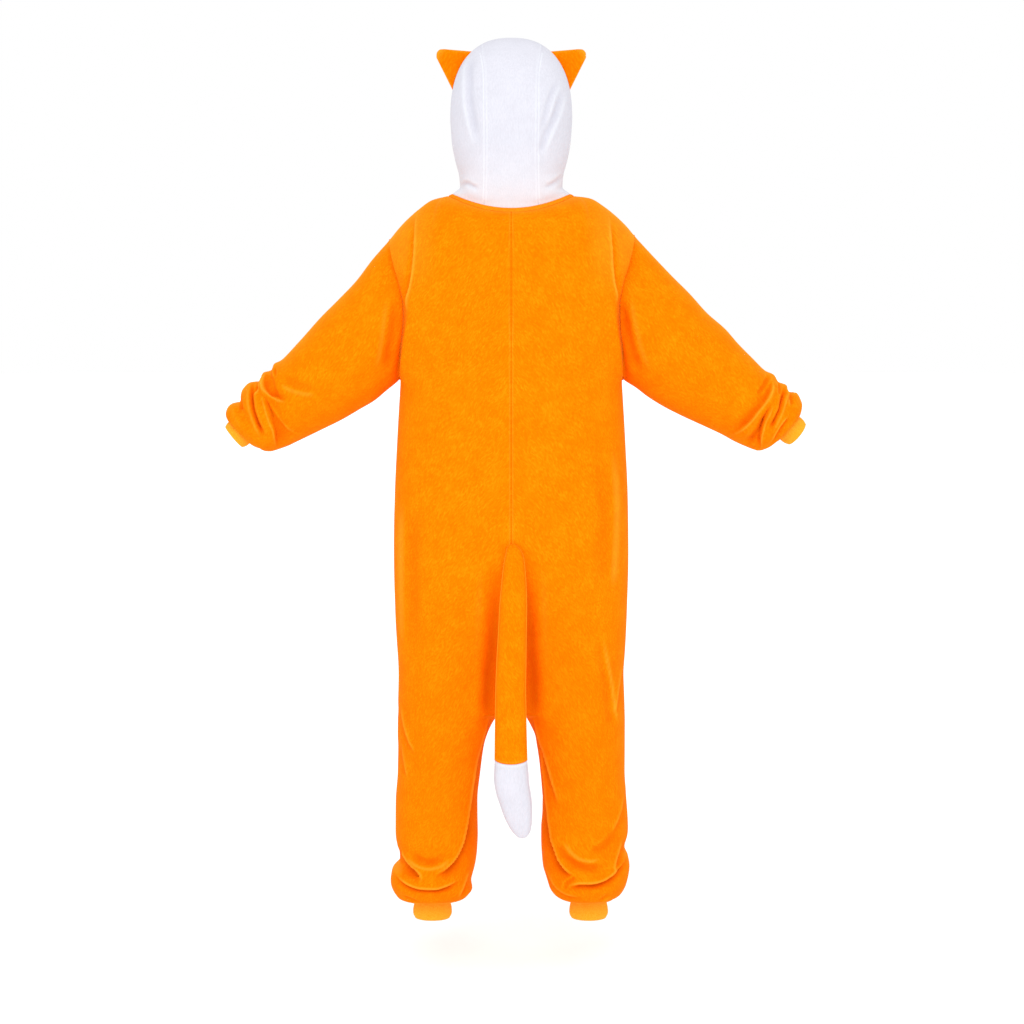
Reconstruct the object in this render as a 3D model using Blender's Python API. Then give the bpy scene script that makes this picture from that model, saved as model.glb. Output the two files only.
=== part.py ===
"""Adult fox onesie: fleece body cut in four panels, sleeves, rib cuffs, three-piece hood, ears and tail.

Metres, +Z up. The origin is the middle of the neck opening, where the shoulders carry the
garment. The front faces -Y, and the wearer's left is +X.
"""

import math
from collections import namedtuple

import bmesh
import bpy
import numpy as np
from mathutils import Matrix, Vector

# ---------------------------------------------------------------- cloth and making
FLEECE_WALL = 0.0025          # one layer of short-pile fleece
RIB_WALL = 0.0030             # rib knit, doubled
TAPE_WALL = 0.0030            # folded neck binding
PLACKET_WALL = 0.0022         # folded front strip
SEAM_GAP = 0.0003             # between two pieces sewn edge to edge
LAY_GAP = 0.0004              # between a piece and what it lies on
WELD = 0.000001
SAME_SPOT = 0.00001           # points nearer than this belong to one place on a seam
SHARP_ANGLE = 50              # degrees
MITRE_LIMIT = 0.5             # least spread of two edge directions at a corner

# ---------------------------------------------------------------- main heights
CROTCH_Z = -0.925
UNDERARM_Z = -0.330
SEAT_RISE = 0.260             # height over which the two legs merge into one body
CLEFT_SHARE = 0.45            # share of a panel's width that the crotch seam pulls in
CROTCH_PINCH = 2.0            # how much the fork between the legs narrows to the inseams
PINCH_END = 0.060             # distance of an inseam from the middle where a leg is a plain tube

# ---------------------------------------------------------------- how finely the cloth is divided
COLUMNS = 10                  # from centre seam or inseam to side seam
YOKE_ROWS = 10                # from underarm to shoulder
HALF_RING = 10                # from top to underside of a sleeve
STRIP_COLUMNS = 4             # across the hood's middle strip

# ---------------------------------------------------------------- torso
BodyLevel = namedtuple("BodyLevel", "height half_width back front")
BODY = [
    BodyLevel(-0.925, 0.2050, 0.136, 0.130),
    BodyLevel(-0.860, 0.2035, 0.141, 0.132),
    BodyLevel(-0.800, 0.2065, 0.144, 0.134),
    BodyLevel(-0.740, 0.2088, 0.144, 0.136),
    BodyLevel(-0.650, 0.2108, 0.141, 0.138),
    BodyLevel(-0.550, 0.2095, 0.137, 0.136),
    BodyLevel(-0.440, 0.2045, 0.133, 0.130),
    BodyLevel(-0.330, 0.1978, 0.129, 0.122),
]
BODY_SQUARENESS = 0.78        # power of sine and cosine round the torso, 1 is an ellipse
BODY_HEIGHTS = [
    -0.916, -0.902, -0.884, -0.862, -0.835, -0.800, -0.755,
    -0.700, -0.640, -0.575, -0.510, -0.450, -0.390, -0.330,
]

# ---------------------------------------------------------------- legs, from the cuff seam upwards
LegLevel = namedtuple("LegLevel", "height inner outer back front squareness rows")
LEG = {
    "left": [
        LegLevel(-1.2660, 0.1081, 0.1789, 0.0354, 0.0354, 1.00, 1),
        LegLevel(-1.2790, 0.1070, 0.1800, 0.0370, 0.0370, 1.00, 1),
        LegLevel(-1.2848, 0.1000, 0.1880, 0.0470, 0.0460, 0.97, 1),
        LegLevel(-1.2800, 0.0890, 0.2010, 0.0640, 0.0600, 0.94, 1),
        LegLevel(-1.2690, 0.0790, 0.2120, 0.0790, 0.0740, 0.92, 1),
        LegLevel(-1.2570, 0.0745, 0.2165, 0.0860, 0.0800, 0.90, 1),
        LegLevel(-1.2440, 0.0735, 0.2193, 0.0930, 0.0870, 0.88, 1),
        LegLevel(-1.2220, 0.0712, 0.2163, 0.0930, 0.0870, 0.88, 1),
        LegLevel(-1.2010, 0.0665, 0.2035, 0.0910, 0.0850, 0.88, 1),
        LegLevel(-1.1800, 0.0640, 0.2058, 0.0930, 0.0870, 0.86, 1),
        LegLevel(-1.1500, 0.0632, 0.2100, 0.0960, 0.0900, 0.85, 2),
        LegLevel(-1.0950, 0.0638, 0.2095, 0.0990, 0.0930, 0.85, 2),
        LegLevel(-1.0400, 0.0585, 0.2056, 0.1040, 0.0980, 0.85, 2),
        LegLevel(-0.9880, 0.0492, 0.2052, 0.1076, 0.1016, 0.85, 1),
        LegLevel(-0.9620, 0.0410, 0.2055, 0.1096, 0.1036, 0.85, 1),
        LegLevel(-0.9440, 0.0310, 0.2056, 0.1106, 0.1046, 0.85, 1),
        LegLevel(-0.9320, 0.0180, 0.2055, 0.1110, 0.1050, 0.85, 1),
        LegLevel(-0.9250, 0.0000, 0.2050, 0.1110, 0.1050, 0.85, 1),
    ],
    "right": [
        LegLevel(-1.2660, 0.1056, 0.1764, 0.0354, 0.0354, 1.00, 1),
        LegLevel(-1.2790, 0.1045, 0.1775, 0.0370, 0.0370, 1.00, 1),
        LegLevel(-1.2848, 0.0975, 0.1850, 0.0470, 0.0460, 0.97, 1),
        LegLevel(-1.2800, 0.0890, 0.1960, 0.0640, 0.0600, 0.94, 1),
        LegLevel(-1.2690, 0.0800, 0.2030, 0.0790, 0.0740, 0.92, 1),
        LegLevel(-1.2570, 0.0735, 0.2085, 0.0860, 0.0800, 0.90, 1),
        LegLevel(-1.2400, 0.0680, 0.2138, 0.0930, 0.0870, 0.88, 1),
        LegLevel(-1.2150, 0.0610, 0.2155, 0.0930, 0.0870, 0.88, 1),
        LegLevel(-1.1950, 0.0585, 0.2120, 0.0910, 0.0850, 0.88, 1),
        LegLevel(-1.1780, 0.0568, 0.2061, 0.0930, 0.0870, 0.86, 1),
        LegLevel(-1.1450, 0.0556, 0.2120, 0.0960, 0.0900, 0.85, 2),
        LegLevel(-1.0950, 0.0580, 0.2090, 0.0990, 0.0930, 0.85, 2),
        LegLevel(-1.0400, 0.0535, 0.2045, 0.1040, 0.0980, 0.85, 2),
        LegLevel(-0.9880, 0.0470, 0.2044, 0.1076, 0.1016, 0.85, 1),
        LegLevel(-0.9620, 0.0385, 0.2044, 0.1096, 0.1036, 0.85, 1),
        LegLevel(-0.9440, 0.0290, 0.2045, 0.1106, 0.1046, 0.85, 1),
        LegLevel(-0.9320, 0.0170, 0.2048, 0.1110, 0.1050, 0.85, 1),
        LegLevel(-0.9250, 0.0000, 0.2050, 0.1110, 0.1050, 0.85, 1),
    ],
}

# ---------------------------------------------------------------- shoulders, armholes and neck
ShoulderPoint = namedtuple("ShoulderPoint", "across height")
SHOULDER = {
    "left": [
        ShoulderPoint(0.1115, -0.0040),
        ShoulderPoint(0.1333, -0.0092),
        ShoulderPoint(0.1574, -0.0243),
        ShoulderPoint(0.1846, -0.0461),
        ShoulderPoint(0.2020, -0.0637),
        ShoulderPoint(0.2168, -0.0812),
    ],
    "right": [
        ShoulderPoint(0.1115, -0.0040),
        ShoulderPoint(0.1333, -0.0065),
        ShoulderPoint(0.1600, -0.0208),
        ShoulderPoint(0.1876, -0.0413),
        ShoulderPoint(0.2060, -0.0585),
        ShoulderPoint(0.2190, -0.0735),
    ],
}
ArmholePoint = namedtuple("ArmholePoint", "rise across back front")
ARMHOLE = [                   # rise is 0 at the underarm and 1 at the shoulder tip
    ArmholePoint(0.00, 0.1978, 0.000, 0.000),
    ArmholePoint(0.03, 0.1955, 0.023, 0.023),
    ArmholePoint(0.12, 0.1850, 0.046, 0.045),
    ArmholePoint(0.24, 0.1765, 0.059, 0.056),
    ArmholePoint(0.40, 0.1735, 0.065, 0.062),
    ArmholePoint(0.52, 0.1765, 0.065, 0.063),
    ArmholePoint(0.64, 0.1850, 0.062, 0.060),
    ArmholePoint(0.78, 0.1950, 0.052, 0.050),
    ArmholePoint(0.90, 0.2070, 0.038, 0.037),
    ArmholePoint(0.96, 0.2128, 0.026, 0.025),
    ArmholePoint(1.00, 0.2168, 0.000, 0.000),
]
NeckEdge = namedtuple("NeckEdge", "half_width side_z back back_z front front_z")
HOOD_SEAM = NeckEdge(0.1042, -0.0005, 0.0750, -0.0262, 0.0950, -0.0850)
BODY_SEAM = NeckEdge(0.1115, -0.0040, 0.0815, -0.0340, 0.1030, -0.0925)
NECK_SQUARENESS = 0.90
NECK_BACK_RISE = 2.0          # power with which the neck edge climbs to the shoulder
NECK_FRONT_RISE = 1.6
TIP_BLEND = 6                 # power that keeps a lopsided shoulder tip's shift near the tip
CREST_POWER = 4               # how late the back and chest turn in towards the shoulder
NECK_TURNS = [0.0, 12.5, 25.0, 45.0, 67.0, 90.0]   # degrees from the centre to the shoulder
SHOULDER_COLUMN = 0.5         # share of a panel's columns that end on the neck edge
BLADE_SQUARENESS = 0.55       # squarer across the shoulder blades than at the waist

# ---------------------------------------------------------------- sleeves: top and underside of each ring
SleeveRing = namedtuple("SleeveRing", "top_x top_z under_x under_z half_depth bow")
SLEEVE = {
    "left": [
        SleeveRing(0.2487, -0.1172, 0.2210, -0.3476, 0.076, 0.017),
        SleeveRing(0.2768, -0.1540, 0.2457, -0.3680, 0.081, 0.010),
        SleeveRing(0.3098, -0.1884, 0.2720, -0.3835, 0.082, 0.005),
        SleeveRing(0.3409, -0.2193, 0.3020, -0.4010, 0.080, 0.002),
        SleeveRing(0.3795, -0.2623, 0.3421, -0.4208, 0.077, 0.000),
        SleeveRing(0.4125, -0.2960, 0.3735, -0.4360, 0.073, 0.000),
        SleeveRing(0.4250, -0.3025, 0.3880, -0.4430, 0.074, 0.000),
        SleeveRing(0.4295, -0.3135, 0.3980, -0.4480, 0.069, 0.000),
        SleeveRing(0.4440, -0.3180, 0.4080, -0.4520, 0.071, 0.000),
        SleeveRing(0.4520, -0.3330, 0.4170, -0.4550, 0.065, 0.000),
        SleeveRing(0.4680, -0.3355, 0.4250, -0.4575, 0.066, 0.000),
        SleeveRing(0.4835, -0.3520, 0.4330, -0.4592, 0.063, 0.000),
        SleeveRing(0.4865, -0.3695, 0.4400, -0.4590, 0.058, 0.000),
        SleeveRing(0.5010, -0.3735, 0.4455, -0.4575, 0.055, 0.000),
        SleeveRing(0.5100, -0.3830, 0.4515, -0.4540, 0.048, 0.000),
        SleeveRing(0.5122, -0.3925, 0.4591, -0.4514, 0.040, 0.000),
        SleeveRing(0.5078, -0.4027, 0.4659, -0.4460, 0.031, 0.000),
    ],
    "right": [
        SleeveRing(0.2514, -0.1083, 0.2210, -0.3430, 0.076, 0.017),
        SleeveRing(0.2862, -0.1446, 0.2457, -0.3615, 0.081, 0.010),
        SleeveRing(0.3196, -0.1777, 0.2760, -0.3800, 0.082, 0.005),
        SleeveRing(0.3502, -0.2114, 0.3110, -0.3975, 0.080, 0.002),
        SleeveRing(0.3830, -0.2400, 0.3460, -0.4135, 0.077, 0.000),
        SleeveRing(0.4060, -0.2660, 0.3760, -0.4275, 0.074, 0.000),
        SleeveRing(0.4309, -0.2911, 0.4000, -0.4405, 0.072, 0.000),
        SleeveRing(0.4560, -0.3150, 0.4170, -0.4485, 0.070, 0.000),
        SleeveRing(0.4705, -0.3215, 0.4280, -0.4530, 0.070, 0.000),
        SleeveRing(0.4790, -0.3345, 0.4360, -0.4560, 0.065, 0.000),
        SleeveRing(0.4930, -0.3400, 0.4430, -0.4578, 0.064, 0.000),
        SleeveRing(0.4985, -0.3520, 0.4490, -0.4575, 0.060, 0.000),
        SleeveRing(0.5110, -0.3540, 0.4549, -0.4555, 0.057, 0.000),
        SleeveRing(0.5185, -0.3650, 0.4600, -0.4535, 0.052, 0.000),
        SleeveRing(0.5218, -0.3760, 0.4657, -0.4500, 0.047, 0.000),
        SleeveRing(0.5205, -0.3865, 0.4722, -0.4447, 0.040, 0.000),
        SleeveRing(0.5162, -0.3958, 0.4789, -0.4391, 0.031, 0.000),
    ],
}
WristCuff = namedtuple("WristCuff", "end_x end_z lean")   # middle of the open end, axis below level
WRIST = {
    "left": WristCuff(0.4983, -0.4338, 39.6),
    "right": WristCuff(0.5134, -0.4283, 38.6),
}
WRIST_RADIUS = 0.0258
WRIST_LENGTH = 0.046
WRIST_TUCK = 0.030            # how far back from the open end the sleeve is sewn on

# ---------------------------------------------------------------- ankle cuffs
CuffLevel = namedtuple("CuffLevel", "height swell")
ANKLE_CUFF = [                # from the hidden seam down to the open end
    CuffLevel(-1.2600, 0.0000),
    CuffLevel(-1.2790, 0.0000),
    CuffLevel(-1.2910, -0.0010),
    CuffLevel(-1.3010, 0.0006),
    CuffLevel(-1.3130, -0.0006),
]
ANKLE_RADIUS = 0.0351
ANKLE_ACROSS = {"left": 0.1435, "right": 0.1410}

# ---------------------------------------------------------------- hood
HoodLevel = namedtuple("HoodLevel", "height half_width back front")
HOOD = [
    HoodLevel(-0.085, 0.1060, 0.075, 0.0960),
    HoodLevel(-0.026, 0.1025, 0.075, 0.0985),
    HoodLevel(0.000, 0.0960, 0.083, 0.1020),
    HoodLevel(0.012, 0.0912, 0.088, 0.1040),
    HoodLevel(0.030, 0.0925, 0.094, 0.1080),
    HoodLevel(0.060, 0.1000, 0.102, 0.1150),
    HoodLevel(0.090, 0.1055, 0.108, 0.1200),
    HoodLevel(0.130, 0.1085, 0.110, 0.1250),
]
HOOD_MIDDLE_Z = 0.130         # above this height the hood closes in a dome
HOOD_TOP_Z = 0.275
HOOD_ROUNDNESS = 2.4          # power of the dome, 2 is an ellipsoid
StripPoint = namedtuple("StripPoint", "height turn half_width")
STRIP = [                     # turn is degrees over the dome, from level at the back
    StripPoint(-0.0262, 0.0, 0.0477),
    StripPoint(-0.004, 0.0, 0.0468),
    StripPoint(0.020, 0.0, 0.0462),
    StripPoint(0.045, 0.0, 0.0455),
    StripPoint(0.075, 0.0, 0.0449),
    StripPoint(0.104, 0.0, 0.0450),
    StripPoint(0.130, 0.0, 0.0455),
    StripPoint(0.130, 17.0, 0.0460),
    StripPoint(0.130, 34.0, 0.0475),
    StripPoint(0.130, 52.0, 0.0515),
    StripPoint(0.130, 73.0, 0.0530),
    StripPoint(0.130, 94.0, 0.0525),
    StripPoint(0.130, 115.0, 0.0510),
    StripPoint(0.130, 136.0, 0.0490),
]
CROWN_TURN = 52.0             # where the side piece's back edge becomes its top edge
FOREHEAD_TURN = 136.0
FacePoint = namedtuple("FacePoint", "forward height")
FACE_EDGE = [                 # opening for the face, from the throat up
    FacePoint(0.0950, -0.0850),
    FacePoint(0.0945, -0.0600),
    FacePoint(0.0900, -0.0250),
    FacePoint(0.0830, 0.0200),
    FacePoint(0.0800, 0.0750),
    FacePoint(0.0820, 0.1300),
    FacePoint(0.0860, 0.1850),
]
SIDE_STRIP_COLUMN = 2         # the neck edge's column where the strip's seam comes down

# ---------------------------------------------------------------- ears
EAR_FORWARD = 0.022
EAR_BASE_TOP_Z = 0.2525
EAR_BASE_LOW_Z = 0.1845
EAR_EDGE_HALF = 0.0022
EAR_SWELL = 0.0065
EAR_ROWS = 7
EAR_ROUNDING = 0.7            # power of the sine across an ear
EAR_THINNING = 0.75           # share of its swell that an ear loses by its tip
EarTip = namedtuple("EarTip", "across height")
EAR_TIP = [
    EarTip(0.1195, 0.2575),
    EarTip(0.1262, 0.2570),
    EarTip(0.1308, 0.2540),
    EarTip(0.1332, 0.2492),
    EarTip(0.1334, 0.2435),
    EarTip(0.1312, 0.2380),
]

# ---------------------------------------------------------------- tail
TailRing = namedtuple("TailRing", "height across half_width half_depth behind")
TAIL = [
    TailRing(-0.6130, -0.0020, 0.0040, 0.0030, 0.1434),
    TailRing(-0.6190, -0.0030, 0.0100, 0.0070, 0.1478),
    TailRing(-0.6320, -0.0055, 0.0150, 0.0110, 0.1526),
    TailRing(-0.6500, -0.0052, 0.0180, 0.0145, 0.1574),
    TailRing(-0.6780, -0.0047, 0.0205, 0.0175, 0.1622),
    TailRing(-0.7200, -0.0035, 0.0230, 0.0190, 0.1652),
    TailRing(-0.7660, -0.0023, 0.0245, 0.0200, 0.1670),
    TailRing(-0.8200, -0.0008, 0.0258, 0.0210, 0.1677),
    TailRing(-0.8760, 0.0000, 0.0268, 0.0215, 0.1672),
    TailRing(-0.9350, 0.0002, 0.0278, 0.0222, 0.1660),
    TailRing(-0.9980, 0.0004, 0.0286, 0.0230, 0.1645),
]
TAIL_TIP = [
    TailRing(-0.9983, 0.0004, 0.0286, 0.0230, 0.1645),
    TailRing(-1.0250, -0.0002, 0.0300, 0.0240, 0.1638),
    TailRing(-1.0500, -0.0038, 0.0298, 0.0240, 0.1632),
    TailRing(-1.0720, -0.0085, 0.0275, 0.0225, 0.1627),
    TailRing(-1.0920, -0.0120, 0.0240, 0.0200, 0.1623),
    TailRing(-1.1090, -0.0155, 0.0195, 0.0165, 0.1620),
    TailRing(-1.1220, -0.0180, 0.0135, 0.0120, 0.1620),
    TailRing(-1.1300, -0.0190, 0.0060, 0.0060, 0.1620),
]
TAIL_SIDES = 14

# ---------------------------------------------------------------- front closing
PLACKET_HALF_WIDTH = 0.018
PLACKET_LOW_Z = -0.640
BUTTONS = 6
BUTTON_RADIUS = 0.0095
BUTTON_THICKNESS = 0.0032
BUTTON_BEVEL = 0.0008
BUTTON_SIDES = 20
BUTTON_TOP_Z = -0.125
BUTTON_LOW_Z = -0.605

# ---------------------------------------------------------------- folds pressed into the cloth
# Across and height place the ends and the middle of each fold; face is +1 behind and -1 in front.
# Depth is how far the cloth sinks, or rises where it is negative.
Fold = namedtuple("Fold", "on face x1 z1 x2 z2 x3 z3 depth width")
FOLDS = [
    Fold("body", 1, 0.1870, -0.300, 0.1810, -0.235, 0.1700, -0.110, -0.0075, 0.014),
    Fold("body", 1, -0.1900, -0.300, -0.1850, -0.235, -0.1750, -0.110, -0.0075, 0.014),
    Fold("body", -1, 0.1870, -0.300, 0.1800, -0.240, 0.1720, -0.140, -0.0065, 0.014),
    Fold("body", -1, -0.1870, -0.300, -0.1810, -0.245, -0.1730, -0.130, -0.0065, 0.014),
    Fold("body", 1, 0.2050, -1.2475, 0.1440, -1.2620, 0.0980, -1.2500, 0.0085, 0.010),
    Fold("body", 1, 0.1750, -1.195, 0.1490, -1.212, 0.1220, -1.195, 0.0060, 0.012),
    Fold("body", 1, 0.1700, -1.222, 0.1480, -1.228, 0.1230, -1.222, -0.0050, 0.012),
    Fold("body", 1, -0.1100, -1.2560, -0.1550, -1.2540, -0.2120, -1.2180, 0.0085, 0.010),
    Fold("body", 1, -0.0880, -1.188, -0.1150, -1.218, -0.1450, -1.222, 0.0060, 0.012),
    Fold("body", 1, -0.1000, -1.222, -0.1300, -1.235, -0.1600, -1.230, -0.0050, 0.012),
    Fold("body", -1, 0.2000, -1.2500, 0.1450, -1.2610, 0.0950, -1.2430, 0.0080, 0.010),
    Fold("body", -1, 0.1800, -1.200, 0.1480, -1.214, 0.1180, -1.196, 0.0055, 0.012),
    Fold("body", -1, -0.2050, -1.2430, -0.1450, -1.2610, -0.1000, -1.2520, 0.0080, 0.010),
    Fold("body", -1, -0.1750, -1.198, -0.1400, -1.213, -0.1080, -1.200, 0.0055, 0.012),
    Fold("sleeve", 1, 0.4670, -0.3430, 0.4640, -0.3850, 0.4380, -0.4380, 0.0070, 0.009),
    Fold("sleeve", 1, 0.4450, -0.3650, 0.4290, -0.4050, 0.4160, -0.4480, 0.0060, 0.009),
    Fold("sleeve", 1, 0.4420, -0.3220, 0.4250, -0.3500, 0.3980, -0.3750, 0.0055, 0.010),
    Fold("sleeve", 1, -0.4940, -0.3560, -0.4800, -0.3880, -0.4630, -0.4280, 0.0070, 0.009),
    Fold("sleeve", 1, -0.4650, -0.3900, -0.4490, -0.4230, -0.4300, -0.4510, 0.0060, 0.009),
    Fold("sleeve", 1, -0.4680, -0.3270, -0.4480, -0.3560, -0.4170, -0.3940, 0.0055, 0.010),
    Fold("sleeve", -1, 0.4680, -0.3430, 0.4600, -0.3900, 0.4350, -0.4350, 0.0065, 0.009),
    Fold("sleeve", -1, 0.4430, -0.3250, 0.4200, -0.3600, 0.4000, -0.4150, 0.0055, 0.010),
    Fold("sleeve", -1, -0.4920, -0.3570, -0.4760, -0.3950, -0.4550, -0.4330, 0.0065, 0.009),
    Fold("sleeve", -1, -0.4690, -0.3280, -0.4440, -0.3700, -0.4180, -0.4200, 0.0055, 0.010),
]
FOLD_POINTS = 13              # places along a fold at which distances are taken
FOLD_FADE = 0.25              # share of a fold's length over which each end dies away
FOLD_END = 0.15               # least share of a fold's depth left at its ends
FACING_GAIN = 1.6             # how quickly a fold comes in as the cloth turns to its face
FACING_START = 0.3

# ---------------------------------------------------------------- colours, linear
CLOTH_ROUGHNESS = 0.95
RIB_ROUGHNESS = 0.90
PLASTIC_ROUGHNESS = 0.35
ORANGE = (0.965, 0.292, 0.002, 1.0)
ORANGE_RIB = (0.960, 0.335, 0.010, 1.0)
WHITE = (0.870, 0.870, 0.925, 1.0)
BUTTON_ORANGE = (0.780, 0.210, 0.010, 1.0)

Piece = namedtuple("Piece", "name points closed outward on wall material")


# ================================================================ small tools
def power(value, exponent):
    """Power that keeps the sign, for sections between an ellipse and a box."""
    return np.sign(value) * np.abs(value) ** exponent


def mix(first, second, share):
    return first + (second - first) * share


def ease(share):
    """Smooth step from 0 to 1."""
    return share * share * (3 - 2 * share)


def unit(vectors):
    return vectors / np.maximum(np.linalg.norm(vectors, axis=-1, keepdims=True), 1e-12)


def curve(knots, values, places):
    """Smooth curve through the values that never swings past them."""
    knots = np.asarray(knots, float)
    values = np.asarray(values, float)
    places = np.clip(np.asarray(places, float), knots[0], knots[-1])
    steps = np.diff(knots)
    slopes = np.diff(values) / steps
    tangents = np.empty_like(values)
    tangents[0], tangents[-1] = slopes[0], slopes[-1]
    same_way = slopes[:-1] * slopes[1:] > 0
    safe = np.where(same_way, slopes[:-1] + slopes[1:], 1.0)
    tangents[1:-1] = np.where(same_way, 2 * slopes[:-1] * slopes[1:] / safe, 0.0)
    at = np.clip(np.searchsorted(knots, places, side="right") - 1, 0, len(steps) - 1)
    part = (places - knots[at]) / steps[at]
    rising = part * part * (3 - 2 * part)
    start_bend = part * (1 - part) ** 2 * steps[at] * tangents[at]
    end_bend = part * part * (part - 1) * steps[at] * tangents[at + 1]
    return mix(values[at], values[at + 1], rising) + start_bend + end_bend


def read(table, name, places, key=None):
    """A named column of a table, at row numbers or at values of its key column."""
    knots = np.arange(len(table)) if key is None else [getattr(row, key) for row in table]
    return curve(knots, [getattr(row, name) for row in table], places)


def depth_name(face):
    return "back" if face > 0 else "front"


# ================================================================ torso and leg panels
def leg_section(level, face, columns, inner, outer, depth, squareness):
    """Half of a leg's section, from the inseam round to the side seam."""
    turn = math.pi * columns
    swing = (1 + power(np.cos(turn), squareness)) / 2
    pinch = 1 + CROTCH_PINCH * (1 - min(inner / PINCH_END, 1.0))
    across = outer * (1 - swing) + inner * swing ** pinch
    away = face * depth * power(np.sin(turn), squareness)
    return np.stack([across, away, np.full_like(columns, level)], -1)


def leg_row(side, face, place, columns):
    table = LEG[side]
    inner = read(table, "inner", place)
    outer = read(table, "outer", place)
    depth = read(table, depth_name(face), place)
    squareness = read(table, "squareness", place)
    return leg_section(read(table, "height", place), face, columns, inner, outer, depth, squareness)


def body_row(face, height, columns):
    """Quarter of the torso's section, merged into the leg's below the seat."""
    turn = math.pi / 2 * columns
    half_width = read(BODY, "half_width", height, "height")
    depth = read(BODY, depth_name(face), height, "height")
    across = half_width * power(np.sin(turn), BODY_SQUARENESS)
    away = face * depth * power(np.cos(turn), BODY_SQUARENESS)
    torso = np.stack([across, away, np.full_like(columns, height)], -1)
    top = LEG["left"][-1]
    leg_depth = getattr(top, depth_name(face))
    leg = leg_section(height, face, columns, 0.0, half_width, leg_depth, top.squareness)
    climb = min((height - CROTCH_Z) / SEAT_RISE, 1.0)
    at_seam = math.sqrt(1 - (1 - climb) ** 2)
    beside = ease(climb)
    merged = mix(at_seam, beside, ease(np.minimum(columns / CLEFT_SHARE, 1.0)))
    return mix(leg, torso, merged[:, None])


def neck_point(edge, turn):
    """Point of a neck edge, turn in degrees from the centre back to the centre front."""
    turn = np.asarray(turn, float)
    behind = turn <= 90
    across = edge.half_width * power(np.sin(np.radians(turn)), NECK_SQUARENESS)
    swing = power(np.cos(np.radians(turn)), NECK_SQUARENESS)
    away = np.where(behind, edge.back, edge.front) * swing
    low = np.where(behind, edge.back_z, edge.front_z)
    climb = np.where(behind, NECK_BACK_RISE, NECK_FRONT_RISE)
    height = mix(low, edge.side_z, (across / edge.half_width) ** climb)
    return np.stack([across, away, height], -1)


def panel_top(side, face, columns):
    """Neck edge and shoulder seam, the panel's top edge."""
    knots = np.linspace(0, SHOULDER_COLUMN, len(NECK_TURNS))
    turn = curve(knots, NECK_TURNS, columns)
    neck = neck_point(BODY_SEAM, turn if face > 0 else 180 - turn)
    share = (columns - SHOULDER_COLUMN) / (1 - SHOULDER_COLUMN) * (len(SHOULDER[side]) - 1)
    across = read(SHOULDER[side], "across", share)
    height = read(SHOULDER[side], "height", share)
    seam = np.stack([across, np.zeros_like(across), height], -1)
    return np.where((columns < SHOULDER_COLUMN)[:, None], neck, seam)


def armhole_point(side, face, rise):
    tip = SHOULDER[side][-1]
    across = read(ARMHOLE, "across", rise, "rise")
    across = across + (tip.across - ARMHOLE[-1].across) * rise ** TIP_BLEND
    away = face * read(ARMHOLE, depth_name(face), rise, "rise")
    height = mix(UNDERARM_Z, tip.height, rise)
    return np.stack([across, away, height], -1)


def yoke_row(side, face, climb, columns):
    """Row between the underarm, climb 0, and the neck and shoulder, climb 1."""
    turn = math.pi / 2 * columns
    edge_rise = (1 - math.cos(math.pi * climb)) / 2
    centre_rise = math.sin(math.pi / 2 * climb)
    rise = mix(centre_rise, edge_rise, columns ** 2)
    edge = armhole_point(side, face, np.array(edge_rise))
    top = panel_top(side, face, columns)
    squareness = mix(BODY_SQUARENESS, BLADE_SQUARENESS, math.sin(math.pi * min(climb, 0.5)))
    across = mix(edge[0] * power(np.sin(turn), squareness), top[:, 0], climb ** 2)
    across[-1] = edge[0]
    height = mix(UNDERARM_Z, top[:, 2], rise)
    depth = getattr(BODY[-1], depth_name(face))
    crest = top[:, 1] + (face * depth - top[:, 1]) * np.sqrt(np.maximum(1 - rise ** CREST_POWER, 0))
    fullness = mix(power(np.cos(turn), squareness), 1.0, climb ** CREST_POWER)
    fullness[-1] = 0.0
    away = mix(edge[1], crest, fullness)
    return np.stack([across, away, height], -1)


def leg_places(side):
    """Row numbers of the leg's table, with the rows that it asks for in between."""
    places = [0.0]
    for number, level in enumerate(LEG[side][:-1]):
        places.extend(number + (step + 1) / level.rows for step in range(level.rows))
    return places


def panel_points(side, face):
    """Cloth of one front or back panel with its leg, in the left side's coordinates."""
    columns = np.linspace(0, 1, COLUMNS + 1)
    rows = [leg_row(side, face, place, columns) for place in leg_places(side)]
    rows += [body_row(face, height, columns) for height in BODY_HEIGHTS]
    climbs = np.arange(1, YOKE_ROWS + 1) / YOKE_ROWS
    rows += [yoke_row(side, face, climb, columns) for climb in climbs]
    return np.array(rows)


# ================================================================ sleeves and cuffs
def armhole_ring(side):
    """Edge of both panels as one ring, from the shoulder tip down behind and up in front."""
    climbs = np.arange(HALF_RING + 1) / HALF_RING
    rises = (1 - np.cos(math.pi * climbs)) / 2
    behind = armhole_point(side, 1, rises[::-1])
    before = armhole_point(side, -1, rises)
    return np.vstack([behind, before[1:]])


def sleeve_ring(ring):
    """Ring from its top, round behind, to its underside and back in front."""
    turn = np.linspace(0, 2 * math.pi, 2 * HALF_RING + 1)
    top = np.array([ring.top_x, 0.0, ring.top_z])
    under = np.array([ring.under_x, 0.0, ring.under_z])
    centre, reach = (top + under) / 2, (top - under) / 2
    points = centre + np.cos(turn)[:, None] * reach
    points[:, 1] += ring.half_depth * np.sin(turn)
    points[:, 0] -= ring.bow * np.sin(turn) ** 2
    return points


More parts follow.
